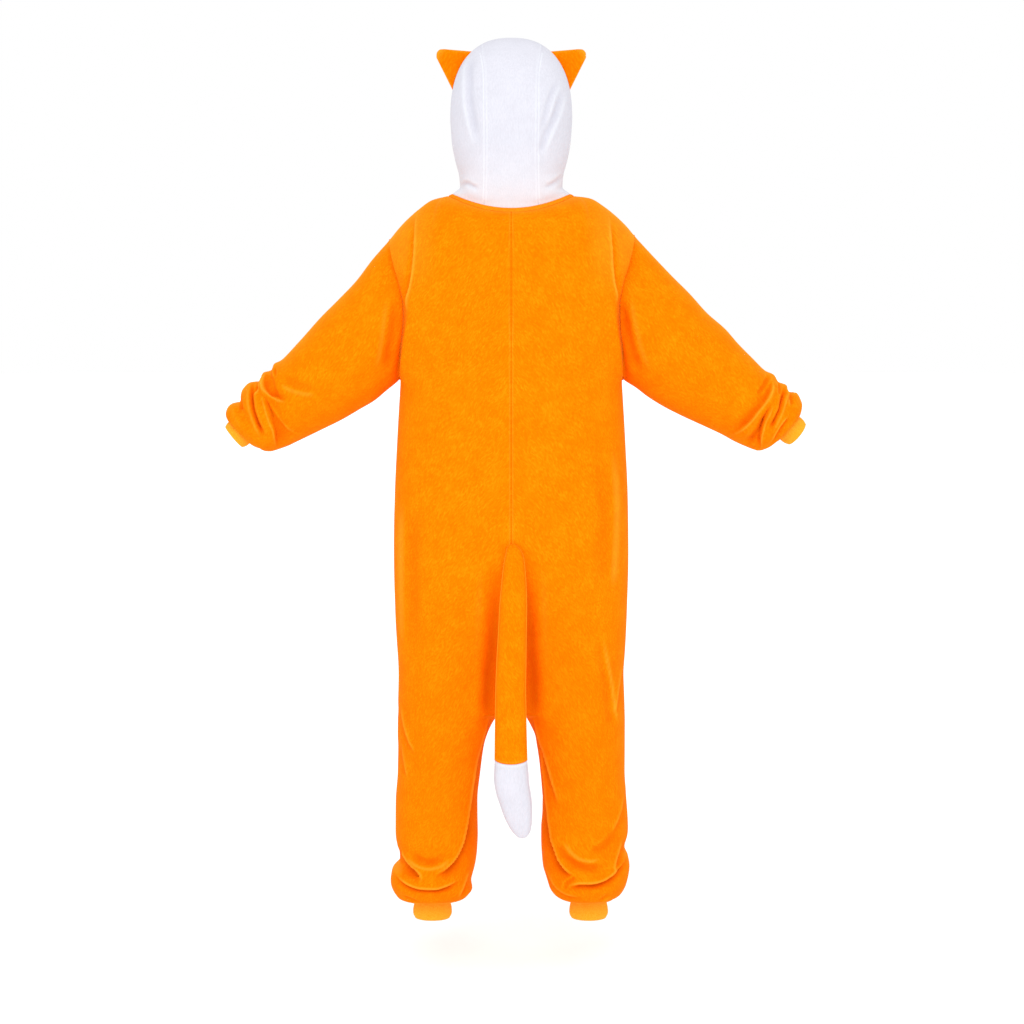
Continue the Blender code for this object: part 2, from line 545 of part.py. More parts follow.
def wrist_ring(side, from_end, radius):
    """Ring square to the cuff's axis, at a distance back from its open end."""
    cuff = WRIST[side]
    lean = math.radians(cuff.lean)
    axis = np.array([math.cos(lean), 0.0, -math.sin(lean)])
    upward = np.array([math.sin(lean), 0.0, math.cos(lean)])
    turn = np.linspace(0, 2 * math.pi, 2 * HALF_RING + 1)
    centre = np.array([cuff.end_x, 0.0, cuff.end_z]) - axis * from_end
    points = centre + radius * np.cos(turn)[:, None] * upward
    points[:, 1] += radius * np.sin(turn)
    return points


def sleeve_points(side):
    rings = [armhole_ring(side)]
    rings += [sleeve_ring(ring) for ring in SLEEVE[side]]
    rings.append(wrist_ring(side, WRIST_TUCK, WRIST_RADIUS + LAY_GAP))
    return np.array(rings)


def wrist_cuff_points(side):
    shares = [WRIST_LENGTH, WRIST_TUCK, WRIST_TUCK / 2, 0.0]
    return np.array([wrist_ring(side, share, WRIST_RADIUS) for share in shares])


def ankle_cuff_points(side):
    columns = np.linspace(0, 1, COLUMNS + 1)
    rings = []
    for level in ANKLE_CUFF:
        radius = ANKLE_RADIUS + level.swell
        inner, outer = ANKLE_ACROSS[side] - radius, ANKLE_ACROSS[side] + radius
        behind = leg_section(level.height, 1, columns, inner, outer, radius, 1.0)
        before = leg_section(level.height, -1, columns, inner, outer, radius, 1.0)
        rings.append(np.vstack([behind, before[::-1][1:]]))
    return np.array(rings)


# ================================================================ hood, neck binding and ears
def hood_half_width(away, height):
    """Distance from the middle plane to the hood, at a place seen from the side."""
    level = min(height, HOOD_MIDDLE_Z)
    reach = read(HOOD, depth_name(away), level, "height")
    climb = max(height - HOOD_MIDDLE_Z, 0.0) / (HOOD_TOP_Z - HOOD_MIDDLE_Z)
    left = 1 - abs(away / reach) ** HOOD_ROUNDNESS - climb ** HOOD_ROUNDNESS
    return read(HOOD, "half_width", level, "height") * max(left, 0.0) ** (1 / HOOD_ROUNDNESS)


def hood_point(height, turn, across):
    """Point of the hood's middle strip, at a turn over the dome and a distance across."""
    face = math.cos(math.radians(turn))
    reach = read(HOOD, depth_name(face), height, "height")
    wide = read(HOOD, "half_width", height, "height")
    inside = (1 - (abs(across) / wide) ** HOOD_ROUNDNESS) ** (1 / HOOD_ROUNDNESS)
    squareness = 2 / HOOD_ROUNDNESS
    away = reach * inside * power(face, squareness)
    climb = power(math.sin(math.radians(turn)), squareness)
    rise = (HOOD_TOP_Z - HOOD_MIDDLE_Z) * inside * climb
    return np.array([across, away, height + rise])


def crown_turns(count):
    return np.linspace(CROWN_TURN, FOREHEAD_TURN, count)


def strip_rows():
    """Height, turn and half width of each row of the strip, with the side's columns over the crown."""
    lower = [point for point in STRIP if point.turn <= CROWN_TURN]
    upper = [point for point in STRIP if point.turn >= CROWN_TURN]
    rows = [(point.height, point.turn, point.half_width) for point in lower]
    for turn in crown_turns(side_columns() + 1)[1:]:
        rows.append((HOOD_MIDDLE_Z, turn, float(read(upper, "half_width", turn, "turn"))))
    return rows


def side_columns():
    """Columns of the hood's side, as many as the neck edge has from the strip to the throat."""
    return 2 * (len(NECK_TURNS) - 1) - SIDE_STRIP_COLUMN


def neck_turns():
    """Turns of all neck columns from the centre back to the centre front."""
    back = NECK_TURNS
    front = [180 - turn for turn in NECK_TURNS[-2::-1]]
    return np.array(back + front)


def hood_strip_points():
    shares = np.linspace(-1, 1, STRIP_COLUMNS + 1)
    grid = []
    for height, turn, half_width in strip_rows():
        grid.append([hood_point(height, turn, share * half_width) for share in shares])
    grid = np.array(grid)
    turns = neck_turns()[:SIDE_STRIP_COLUMN + 1]
    edge = neck_point(HOOD_SEAM, turns)
    grid[0] = np.vstack([edge[:0:-1] * (-1, 1, 1), edge])
    return grid


def hood_side_points():
    """Left side of the hood: rows rise from the neck to the crown, columns run forward."""
    rows = strip_rows()
    last = sum(1 for _, turn, _ in rows if turn <= CROWN_TURN)
    columns = side_columns()
    back_edge = np.array([hood_point(*row) for row in rows[:last]])
    top_edge = np.array([hood_point(*row) for row in rows[last - 1:]])
    low_edge = neck_point(HOOD_SEAM, neck_turns()[SIDE_STRIP_COLUMN:])
    back_edge[0] = low_edge[0]
    climbs = np.linspace(0, 1, last)
    forehead = FacePoint(-top_edge[-1][1], top_edge[-1][2])
    face = FACE_EDGE + [forehead]
    places = climbs * (len(face) - 1)
    front_y = -read(face, "forward", places)
    front_z = read(face, "height", places)
    grid = np.zeros((last, columns + 1, 3))
    for row in range(last):
        climb = row / (last - 1)
        for column in range(columns + 1):
            share = column / columns
            spot = patch_spot(climb, share, back_edge[row], (front_y[row], front_z[row]),
                              low_edge, top_edge, column)
            grid[row, column] = (hood_half_width(*spot), *spot)
    grid[:, 0] = back_edge
    grid[-1] = top_edge
    grid[0] = low_edge
    return grid


def patch_spot(climb, share, back, front, low_edge, top_edge, column):
    """Place inside four edges, seen from the side: the edges' mean less the corners' mean."""
    back, front = np.array(back[1:]), np.array(front)
    low, top = low_edge[column][1:], top_edge[column][1:]
    between = mix(back, front, share) + mix(low, top, climb)
    low_corners = mix(low_edge[0][1:], low_edge[-1][1:], share)
    top_corners = mix(top_edge[0][1:], top_edge[-1][1:], share)
    return between - mix(low_corners, top_corners, climb)


def neck_tape_points():
    """Binding between the hood and the body, from the throat round behind and back."""
    turns = neck_turns()
    upper, lower = neck_point(HOOD_SEAM, turns), neck_point(BODY_SEAM, turns)
    middle = (upper + lower) / 2
    middle[:, 2] += TAPE_WALL / 6
    rows = []
    for edge in (lower, middle, upper):
        rows.append(np.vstack([edge[::-1], edge[1:] * (-1, 1, 1)]))
    return np.array(rows)


def ear_skins():
    """Back and front skins of the left ear, rows from the hood to the tip."""
    columns = len(EAR_TIP)
    heights = np.linspace(EAR_BASE_TOP_Z, EAR_BASE_LOW_Z, columns)
    behind, before = np.zeros((2, EAR_ROWS + 1, columns, 3))
    for column, height in enumerate(heights):
        away = -EAR_FORWARD
        lift = 2 * LAY_GAP + EAR_EDGE_HALF / 4
        base = np.array([hood_half_width(away, height) + lift, 0.0, height + lift / 2])
        tip = np.array([EAR_TIP[column].across, 0.0, EAR_TIP[column].height])
        side = math.sin(math.pi * column / (columns - 1))
        for row in range(EAR_ROWS + 1):
            share = row / EAR_ROWS
            half = EAR_EDGE_HALF + EAR_SWELL * side ** EAR_ROUNDING * (1 - EAR_THINNING * share)
            middle = mix(base, tip, share)
            behind[row, column] = middle + (0, away + half, 0)
            before[row, column] = middle + (0, away - half, 0)
    return behind, before


# ================================================================ folds and normals
def fold_sink(fold, points, normals):
    """How far each point sinks into one fold."""
    share = np.linspace(0, 1, FOLD_POINTS)[:, None]
    ends = np.array([[fold.x1, fold.z1], [fold.x2, fold.z2], [fold.x3, fold.z3]])
    bend = 2 * ends[1] - (ends[0] + ends[2]) / 2
    path = (1 - share) ** 2 * ends[0] + 2 * share * (1 - share) * bend + share ** 2 * ends[2]
    seen = points[..., [0, 2]]
    gaps = np.linalg.norm(seen[..., None, :] - path, axis=-1)
    nearest = np.min(gaps, -1)
    along = np.argmin(gaps, -1) / (FOLD_POINTS - 1)
    fade = np.clip(np.minimum(along, 1 - along) / FOLD_FADE, FOLD_END, 1)
    facing = np.clip(normals[..., 1] * fold.face * FACING_GAIN + FACING_START, 0, 1)
    return fold.depth * fade * facing * np.exp(-(nearest / fold.width) ** 2)


def across_rows(piece):
    """Direction of the rows at each point, carried over the join of a closed piece."""
    points = piece.points
    if not piece.closed:
        return np.gradient(points, axis=1)
    wrapped = np.concatenate([points[:, -2:-1], points, points[:, 1:2]], 1)
    return (wrapped[:, 2:] - wrapped[:, :-2]) / 2


def grid_normals(piece):
    """Normals of a piece's grid, pointing out of the garment, each as long as its cell is large."""
    along = np.gradient(piece.points, axis=0)
    return np.cross(across_rows(piece), along) * piece.outward


def spot_key(point):
    return tuple(int(round(value / SAME_SPOT)) for value in point)


def shared_normals(pieces):
    """Normals of all pieces, the same for points of pieces that meet at a seam."""
    found = [grid_normals(piece) for piece in pieces]
    sums = {}
    for piece, normals in zip(pieces, found):
        for point, normal in zip(piece.points.reshape(-1, 3), normals.reshape(-1, 3)):
            users = sums.setdefault(spot_key(point), {})
            users[piece.on] = users.get(piece.on, 0) + normal
    joined = []
    for piece, normals in zip(pieces, found):
        flat = []
        for point in piece.points.reshape(-1, 3):
            users = sums[spot_key(point)].values()
            flat.append(unit(sum(unit(normal) for normal in users)))
        joined.append(np.array(flat).reshape(normals.shape))
    return joined, sums


def folded(pieces):
    """The pieces with their folds pressed in; seams between unlike pieces stay where they are."""
    normals, users = shared_normals(pieces)
    result = []
    for piece, facing in zip(pieces, normals):
        sink = np.zeros(piece.points.shape[:2])
        for fold in FOLDS:
            if fold.on == piece.on:
                sink += fold_sink(fold, piece.points, facing)
        keys = [spot_key(point) for point in piece.points.reshape(-1, 3)]
        free = np.array([len(users[key]) == 1 for key in keys]).reshape(sink.shape)
        moved = piece.points - facing * (sink * free)[..., None]
        result.append(piece._replace(points=moved))
    return result


def rims(piece):
    """Places along each free edge, in loops that run once round the cloth."""
    rows, columns = piece.points.shape[:2]
    if piece.closed:
        first = [(0, column) for column in range(columns - 1)]
        last = [(rows - 1, column) for column in range(columns - 2, -1, -1)]
        return [first, last]
    loop = [(0, column) for column in range(columns - 1)]
    loop += [(row, columns - 1) for row in range(rows - 1)]
    loop += [(rows - 1, column) for column in range(columns - 1, 0, -1)]
    loop += [(row, 0) for row in range(rows - 1, 0, -1)]
    return [loop]


def drawn_back(piece, normals):
    """Outer skin of a piece, its edges drawn back by half the seam gap with mitred corners."""
    points = piece.points.copy()
    for loop in rims(piece):
        rows, columns = np.array(loop).T
        rim, facing = piece.points[rows, columns], normals[rows, columns]
        ahead = np.roll(rim, -1, 0) - rim
        before = np.roll(ahead, 1, 0)
        inward = [unit(np.cross(facing, side) * piece.outward) for side in (ahead, before)]
        spread = 1 + np.sum(inward[0] * inward[1], -1, keepdims=True)
        step = (inward[0] + inward[1]) / np.maximum(spread, MITRE_LIMIT)
        points[rows, columns] = rim + step * SEAM_GAP / 2
    if piece.closed:
        points[:, -1] = points[:, 0]
    return points


# ================================================================ meshes and objects
def grid_mesh(points, closed):
    """Sheet of quads through a grid of points, numbered by place."""
    rows, columns = points.shape[:2]
    mesh = bmesh.new()
    bmesh.ops.create_grid(mesh, x_segments=columns - 1, y_segments=rows - 1, size=0.5)
    place = mesh.verts.layers.int.new("place")
    for vertex in mesh.verts:
        column = round((vertex.co.x + 0.5) * (columns - 1))
        row = round((vertex.co.y + 0.5) * (rows - 1))
        vertex[place] = row * columns + column
        vertex.co = points[row, column]
    if closed:
        bmesh.ops.remove_doubles(mesh, verts=mesh.verts, dist=WELD)
    return mesh, place


def wall_mesh(inner, outer, closed):
    """Closed wall between two skins of the same grid."""
    mesh, place = grid_mesh(inner, closed)
    columns = inner.shape[1]
    grown = bmesh.ops.extrude_face_region(mesh, geom=mesh.faces[:])
    for item in grown["geom"]:
        if isinstance(item, bmesh.types.BMVert):
            row, column = divmod(item[place], columns)
            item.co = outer[row, column]
    bmesh.ops.recalc_face_normals(mesh, faces=mesh.faces)
    return mesh


def material(name, colour, roughness):
    made = bpy.data.materials.new(name)
    made.use_nodes = True
    shader = made.node_tree.nodes["Principled BSDF"]
    shader.inputs["Base Color"].default_value = colour
    shader.inputs["Roughness"].default_value = roughness
    shader.inputs["Metallic"].default_value = 0.0
    made.diffuse_color = colour
    return made


def add_object(name, mesh, finish):
    data = bpy.data.meshes.new(name)
    mesh.to_mesh(data)
    mesh.free()
    data.materials.append(finish)
    data.shade_smooth()
    data.set_sharp_from_angle(angle=math.radians(SHARP_ANGLE))
    made = bpy.data.objects.new(name, data)
    bpy.context.scene.collection.objects.link(made)
    return made


def mirrored(points):
    return points * (-1, 1, 1)


def cloth_pieces(fleece, white, rib):
    """Every piece of cloth as a grid, left and right ones each in their own place."""
    pieces = []
    for side, turn in (("left", 1), ("right", -1)):
        place = mirrored if turn < 0 else np.array
        for word, face in (("back", 1), ("front", -1)):
            points = place(panel_points(side, face))
            pieces.append(Piece(f"{word}_{side}", points, False, -face * turn,
                                "body", FLEECE_WALL, fleece))
        pieces.append(Piece(f"sleeve_{side}", place(sleeve_points(side)), True, -turn,
                            "sleeve", FLEECE_WALL, fleece))
        pieces.append(Piece(f"wrist_cuff_{side}", place(wrist_cuff_points(side)), True, -turn,
                            "cuff", RIB_WALL, rib))
        pieces.append(Piece(f"ankle_cuff_{side}", place(ankle_cuff_points(side)), True, turn,
                            "cuff", RIB_WALL, rib))
        pieces.append(Piece(f"hood_side_{side}", place(hood_side_points()), False, -turn,
                            "hood", FLEECE_WALL, white))
    pieces.append(Piece("hood_middle", hood_strip_points(), False, -1,
                        "hood", FLEECE_WALL, white))
    pieces.append(Piece("neck_binding", neck_tape_points(), False, 1,
                        "neck", TAPE_WALL, fleece))
    return pieces


def build_cloth(pieces):
    """Solid walls of all pieces, and the outer skin and normals of each by name."""
    normals, _ = shared_normals(pieces)
    skins = {}
    for piece, facing in zip(pieces, normals):
        outer = drawn_back(piece, facing)
        inner = outer - facing * piece.wall
        add_object(piece.name, wall_mesh(inner, outer, piece.closed), piece.material)
        skins[piece.name] = (outer, facing)
    return skins


def build_ears(fleece):
    for side, turn in (("left", 1), ("right", -1)):
        behind, before = ear_skins()
        if turn < 0:
            behind, before = mirrored(behind), mirrored(before)
        add_object(f"ear_{side}", wall_mesh(before, behind, False), fleece)


def tail_mesh(rings):
    """Stuffed tube through the rings, closed at both ends."""
    turn = np.linspace(0, 2 * math.pi, TAIL_SIDES + 1)
    points = []
    for ring in rings:
        across = ring.across + ring.half_width * np.sin(turn)
        away = ring.behind + ring.half_depth * np.cos(turn)
        points.append(np.stack([across, away, np.full_like(turn, ring.height)], -1))
    mesh, _ = grid_mesh(np.array(points), True)
    ends = [edge for edge in mesh.edges if edge.is_boundary]
    bmesh.ops.holes_fill(mesh, edges=ends, sides=0)
    bmesh.ops.recalc_face_normals(mesh, faces=mesh.faces)
    return mesh


def front_line(skins):
    """Middle line of the front, its two shoulders of the strip and the normals, row by row."""
    points, facing = skins["front_left"]
    first_row = len(leg_places("left"))
    rows = [row for row in range(first_row, len(points) - 1) if points[row, 0, 2] > PLACKET_LOW_Z]
    rows.insert(0, rows[0] - 1)
    share = [PLACKET_HALF_WIDTH / points[row, 1, 0] for row in rows]
    middle = np.array([points[row, 0] * (0, 1, 1) for row in rows])
    flank = np.array([mix(middle[n], points[row, 1], share[n]) for n, row in enumerate(rows)])
    normals = np.array([facing[row, 0] for row in rows])
    return middle, flank, normals


def build_placket(skins, fleece):
    middle, flank, normals = front_line(skins)
    skin = np.stack([mirrored(flank), middle, flank], 1)
    facing = np.stack([normals] * 3, 1)
    inner = skin + facing * LAY_GAP
    outer = inner + facing * PLACKET_WALL
    add_object("front_placket", wall_mesh(inner, outer, False), fleece)
    return middle + normals * (LAY_GAP * 2 + PLACKET_WALL), normals


def build_buttons(line, normals, plastic):
    """Buttons in a row on the placket, each square to the cloth under it."""
    for number, height in enumerate(np.linspace(BUTTON_TOP_Z, BUTTON_LOW_Z, BUTTONS)):
        away = np.interp(height, line[:, 2], line[:, 1])
        slope = [np.interp(height, line[:, 2], normals[:, axis]) for axis in range(3)]
        facing = Vector((0.0, slope[1], slope[2])).normalized()
        centre = Vector((0.0, float(away), float(height))) + facing * BUTTON_THICKNESS / 2
        mesh = bmesh.new()
        bmesh.ops.create_cone(mesh, cap_ends=True, segments=BUTTON_SIDES, radius1=BUTTON_RADIUS,
                              radius2=BUTTON_RADIUS, depth=BUTTON_THICKNESS)
        rims = [edge for edge in mesh.edges if abs(edge.verts[0].co.z - edge.verts[1].co.z) < WELD]
        bmesh.ops.bevel(mesh, geom=rims, offset=BUTTON_BEVEL, segments=1, profile=0.5,
                        affect="EDGES", material=-1)
        turned = Vector((0, 0, 1)).rotation_difference(facing).to_matrix().to_4x4()
        bmesh.ops.transform(mesh, matrix=Matrix.Translation(centre) @ turned, verts=mesh.verts)
        add_object(f"button_{number + 1}", mesh, plastic)


def build():
    for made in list(bpy.data.objects):
        bpy.data.objects.remove(made)
    fleece = material("orange_fleece", ORANGE, CLOTH_ROUGHNESS)
    white = material("white_fleece", WHITE, CLOTH_ROUGHNESS)
    rib = material("orange_rib", ORANGE_RIB, RIB_ROUGHNESS)
    plastic = material("button_plastic", BUTTON_ORANGE, PLASTIC_ROUGHNESS)
    skins = build_cloth(folded(cloth_pieces(fleece, white, rib)))
    build_ears(fleece)
    add_object("tail", tail_mesh(TAIL), fleece)
    add_object("tail_tip", tail_mesh(TAIL_TIP), white)
    line, normals = build_placket(skins, fleece)
    build_buttons(line, normals, plastic)


build()
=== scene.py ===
# %% [markdown]
# # A fox onesie, made as a tailor makes it
#
# The onesie is a loose suit of short-pile fleece: four long panels that are body and leg in one, two
# sleeves, a hood of three pieces, rib cuffs, a neck binding, stuffed ears and a stuffed tail. The packed
# model already has each piece as a coarse wall of cloth. This script loads it, rebuilds every piece of
# cloth from nearly the same sizes on a fine grid, presses the creases in and gives each material its nap.

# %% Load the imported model
import math
from collections import namedtuple

import bmesh
import bpy
import numpy as np
from mathutils import Matrix, Vector
from mathutils.kdtree import KDTree


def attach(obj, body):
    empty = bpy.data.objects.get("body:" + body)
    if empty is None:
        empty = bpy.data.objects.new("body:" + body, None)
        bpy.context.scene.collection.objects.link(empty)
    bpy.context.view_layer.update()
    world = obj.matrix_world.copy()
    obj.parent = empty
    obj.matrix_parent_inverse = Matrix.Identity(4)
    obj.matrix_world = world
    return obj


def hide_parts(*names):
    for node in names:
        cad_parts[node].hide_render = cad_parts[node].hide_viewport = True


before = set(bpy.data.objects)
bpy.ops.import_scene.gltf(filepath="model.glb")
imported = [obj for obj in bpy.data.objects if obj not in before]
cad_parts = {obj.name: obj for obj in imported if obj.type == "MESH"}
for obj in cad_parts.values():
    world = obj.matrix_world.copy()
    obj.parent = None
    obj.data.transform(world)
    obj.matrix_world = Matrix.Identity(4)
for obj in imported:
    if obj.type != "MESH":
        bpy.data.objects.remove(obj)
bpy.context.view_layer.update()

# %% [markdown]
# ## Small tools
#
# A table holds the sizes of a form at a few levels, and a curve runs through them. The curve is a
# monotone cubic, because a plain spline would swing past the sizes and make bulges that nobody cut.
# It works on whole arrays, so that one call lays out a row of hundreds of points.

# %% Curves through tables
def mix(first, second, share):
    return first + (second - first) * share


def ease(share):
    """Smooth step from 0 to 1, held flat outside."""
    share = np.clip(share, 0, 1)
    return share * share * (3 - 2 * share)


def power(value, exponent):
    return np.sign(value) * np.abs(value) ** exponent


def bump_at(place, centre, width):
    """A soft bump, 1 at its centre."""
    return np.exp(-((place - centre) / width) ** 2)


def unit(vectors):
    return vectors / np.maximum(np.linalg.norm(vectors, axis=-1, keepdims=True), 1e-12)


def curve(knots, values, places):
    """Values between the knots, on a curve that never swings past them."""
    knots = np.asarray(knots, float)
    values = np.asarray(values, float)
    places = np.clip(np.asarray(places, float), knots[0], knots[-1])
    wide = (-1,) + (1,) * (values.ndim - 1)
    steps = np.diff(knots)
    slopes = np.diff(values, axis=0) / steps.reshape(wide)
    tangents = np.empty_like(values)
    tangents[0], tangents[-1] = slopes[0], slopes[-1]
    same_way = slopes[:-1] * slopes[1:] > 0
    safe = np.where(same_way, slopes[:-1] + slopes[1:], 1.0)
    tangents[1:-1] = np.where(same_way, 2 * slopes[:-1] * slopes[1:] / safe, 0.0)
    at = np.clip(np.searchsorted(knots, places, side="right") - 1, 0, len(steps) - 1)
    tail = at.shape + (1,) * (values.ndim - 1)
    part = ((places - knots[at]) / steps[at]).reshape(tail)
    length = steps[at].reshape(tail)
    level = mix(values[at], values[at + 1], part * part * (3 - 2 * part))
    start = part * (1 - part) ** 2 * length * tangents[at]
    end = part * part * (part - 1) * length * tangents[at + 1]
    return level + start + end


def table(names, *rows):
    """Columns of a table of sizes, by name."""
    return dict(zip(names.split(), np.array(rows, float).T))


def read(sizes, name, places, key=None):
    knots = np.arange(len(sizes[name])) if key is None else sizes[key]
    return curve(knots, sizes[name], places)


def even_places(rows_at, places, step):
    """Places that space the rows about a step apart, measured where they are furthest apart."""
    rows = rows_at(places)
    apart = np.linalg.norm(np.diff(rows, axis=0), axis=-1).max(axis=1)
    along = np.concatenate([[0], np.cumsum(apart / step)])
    return np.interp(np.linspace(0, along[-1], int(along[-1]) + 2), along, places)


print("a curve through 0, 1, 1 stays level:", curve([0, 1, 2], [0, 1, 1], [0.5, 1.5]))

# %% [markdown]
# ## The sizes of the body and legs
#
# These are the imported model's sizes, in metres, with a few set finer here: the legs come a little nearer
# to each other, and their lowest turns sit higher. Each leg has its own table, because the wearer's legs
# don't stand quite alike, and its first levels roll the cloth under into the gathered seam of the cuff.

# %% Body and leg sizes
CROTCH_Z = -0.925
UNDERARM_Z = -0.330
SEAT_RISE = 0.260
CLEFT_SHARE = 0.40
CLEFT_SOFTNESS = 12.0
CLEFT_POWER = 0.5             # how quickly the cleft between the legs fills at the seam itself
CROTCH_PINCH = 2.0
PINCH_FADE = 0.035
BODY_SQUARENESS = 0.78
BODY = table(
    "height half_width back front",
    (-0.925, 0.2050, 0.136, 0.130), (-0.860, 0.2035, 0.141, 0.132),
    (-0.800, 0.2065, 0.144, 0.134), (-0.740, 0.2088, 0.144, 0.136),
    (-0.650, 0.2108, 0.141, 0.138), (-0.550, 0.2095, 0.137, 0.136),
    (-0.440, 0.2045, 0.133, 0.130), (-0.330, 0.1978, 0.129, 0.122))
LEG = {
    "left": table(
        "height inner outer back front squareness",
        (-1.2660, 0.1081, 0.1789, 0.0354, 0.0354, 1.00), (-1.2715, 0.1070, 0.1800, 0.0370, 0.0370, 1.00),
        (-1.2752, 0.1000, 0.1890, 0.0470, 0.0460, 0.97), (-1.2718, 0.0850, 0.2045, 0.0640, 0.0600, 0.94),
        (-1.2640, 0.0765, 0.2110, 0.0790, 0.0740, 0.92), (-1.2550, 0.0712, 0.2160, 0.0860, 0.0800, 0.90),
        (-1.2410, 0.0728, 0.2193, 0.0930, 0.0870, 0.88), (-1.2200, 0.0680, 0.2163, 0.0930, 0.0870, 0.88),
        (-1.2010, 0.0642, 0.2035, 0.0910, 0.0850, 0.88), (-1.1800, 0.0620, 0.2058, 0.0930, 0.0870, 0.86),
        (-1.1500, 0.0608, 0.2100, 0.0960, 0.0900, 0.85), (-1.0950, 0.0612, 0.2095, 0.0990, 0.0930, 0.85),
        (-1.0400, 0.0555, 0.2056, 0.1040, 0.0980, 0.85), (-0.9970, 0.0495, 0.2052, 0.1076, 0.1016, 0.85),
        (-0.9700, 0.0418, 0.2055, 0.1096, 0.1036, 0.85), (-0.9450, 0.0308, 0.2056, 0.1106, 0.1046, 0.85),
        (-0.9350, 0.0245, 0.2053, 0.1109, 0.1049, 0.85), (-0.9285, 0.0150, 0.2051, 0.1110, 0.1050, 0.85),
        (-0.9250, 0.0000, 0.2050, 0.1110, 0.1050, 0.85)),
    "right": table(
        "height inner outer back front squareness",
        (-1.2660, 0.1056, 0.1764, 0.0354, 0.0354, 1.00), (-1.2715, 0.1045, 0.1775, 0.0370, 0.0370, 1.00),
        (-1.2745, 0.0975, 0.1850, 0.0470, 0.0460, 0.97), (-1.2705, 0.0868, 0.1885, 0.0640, 0.0600, 0.94),
        (-1.2640, 0.0775, 0.1985, 0.0790, 0.0740, 0.92), (-1.2550, 0.0708, 0.2050, 0.0860, 0.0800, 0.90),
        (-1.2400, 0.0652, 0.2108, 0.0930, 0.0870, 0.88), (-1.2150, 0.0582, 0.2150, 0.0930, 0.0870, 0.88),
        (-1.1950, 0.0560, 0.2120, 0.0910, 0.0850, 0.88), (-1.1780, 0.0547, 0.2061, 0.0930, 0.0870, 0.86),
        (-1.1450, 0.0532, 0.2120, 0.0960, 0.0900, 0.85), (-1.0950, 0.0552, 0.2095, 0.0990, 0.0930, 0.85),
        (-1.0400, 0.0520, 0.2055, 0.1040, 0.0980, 0.85), (-0.9970, 0.0466, 0.2056, 0.1076, 0.1016, 0.85),
        (-0.9760, 0.0428, 0.2056, 0.1096, 0.1036, 0.85), (-0.9450, 0.0298, 0.2056, 0.1106, 0.1046, 0.85),
        (-0.9350, 0.0240, 0.2053, 0.1109, 0.1049, 0.85), (-0.9285, 0.0148, 0.2051, 0.1110, 0.1050, 0.85),
        (-0.9250, 0.0000, 0.2050, 0.1110, 0.1050, 0.85))}
FACES = {"back": 1, "front": -1}
SIDES = {"left": 1, "right": -1}
print("leg levels", len(LEG["left"]["height"]), "body levels", len(BODY["height"]))

# %% [markdown]
# ## The sizes of shoulders, neck and armholes
#
# The neck seam is a ring that drops to the front, and the armhole is a slanting oval. Body and sleeve
# share the armhole's curve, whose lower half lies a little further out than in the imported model. Hood
# and body each have an edge at the neck, and the binding is laid between the two.

# %% Shoulder, neck and armhole sizes
SHOULDER = {
    "left": table("across height", (0.1115, -0.0040), (0.1333, -0.0092), (0.1574, -0.0243),
                  (0.1846, -0.0461), (0.2020, -0.0637), (0.2168, -0.0812)),
    "right": table("across height", (0.1115, -0.0040), (0.1333, -0.0065), (0.1600, -0.0208),
                   (0.1876, -0.0413), (0.2060, -0.0585), (0.2190, -0.0735))}
ARMHOLE = table(
    "rise across back front",
    (0.00, 0.1978, 0.000, 0.000), (0.03, 0.1970, 0.023, 0.023), (0.12, 0.1935, 0.046, 0.045),
    (0.24, 0.1880, 0.059, 0.056), (0.40, 0.1795, 0.065, 0.062), (0.52, 0.1760, 0.065, 0.063),
    (0.64, 0.1830, 0.062, 0.060), (0.78, 0.1955, 0.052, 0.050), (0.90, 0.2070, 0.038, 0.037),
    (0.96, 0.2128, 0.026, 0.025), (1.00, 0.2168, 0.000, 0.000))
NeckEdge = namedtuple("NeckEdge", "half_width side_z back back_z front front_z")
HOOD_SEAM = NeckEdge(0.1042, -0.0005, 0.0750, -0.0262, 0.0950, -0.0850)
BODY_SEAM = NeckEdge(0.1115, -0.0040, 0.0815, -0.0340, 0.1030, -0.0925)
NECK_SQUARENESS = 0.90
NECK_BACK_RISE = 2.0
NECK_FRONT_RISE = 1.6
TIP_BLEND = 6
CREST_POWER = 4
BLADE_SQUARENESS = 0.55
NECK_TURNS = [0.0, 12.5, 25.0, 45.0, 67.0, 90.0]
SHOULDER_COLUMN = 0.5


def neck_point(edge, turn):
    """Point of a neck edge, turn in degrees from the centre back to the centre front."""
    turn = np.asarray(turn, float)
    behind = turn <= 90
    across = edge.half_width * power(np.sin(np.radians(turn)), NECK_SQUARENESS)
    swing = power(np.cos(np.radians(turn)), NECK_SQUARENESS)
    away = np.where(behind, edge.back, edge.front) * swing
    low = np.where(behind, edge.back_z, edge.front_z)
    climb = np.where(behind, NECK_BACK_RISE, NECK_FRONT_RISE)
    height = mix(low, edge.side_z, (across / edge.half_width) ** climb)
    return np.stack([across, away, height], -1)


def armhole_point(side, word, rise):
    tip = SHOULDER[side]
    across = read(ARMHOLE, "across", rise, "rise")
    across = across + (tip["across"][-1] - ARMHOLE["across"][-1]) * rise ** TIP_BLEND
    away = FACES[word] * read(ARMHOLE, word, rise, "rise")
    return np.stack([across, away, mix(UNDERARM_Z, tip["height"][-1], rise)], -1)


print("neck ring", neck_point(BODY_SEAM, [0, 90, 180]).round(3).tolist())

# %% [markdown]
# ## The sizes of sleeves and cuffs
#
# A sleeve is a row of slanting rings, each given by its top and underside. Towards the wrist the rings
# swell and shrink in turn, because the sleeve is longer than the arm and piles up above its cuff.

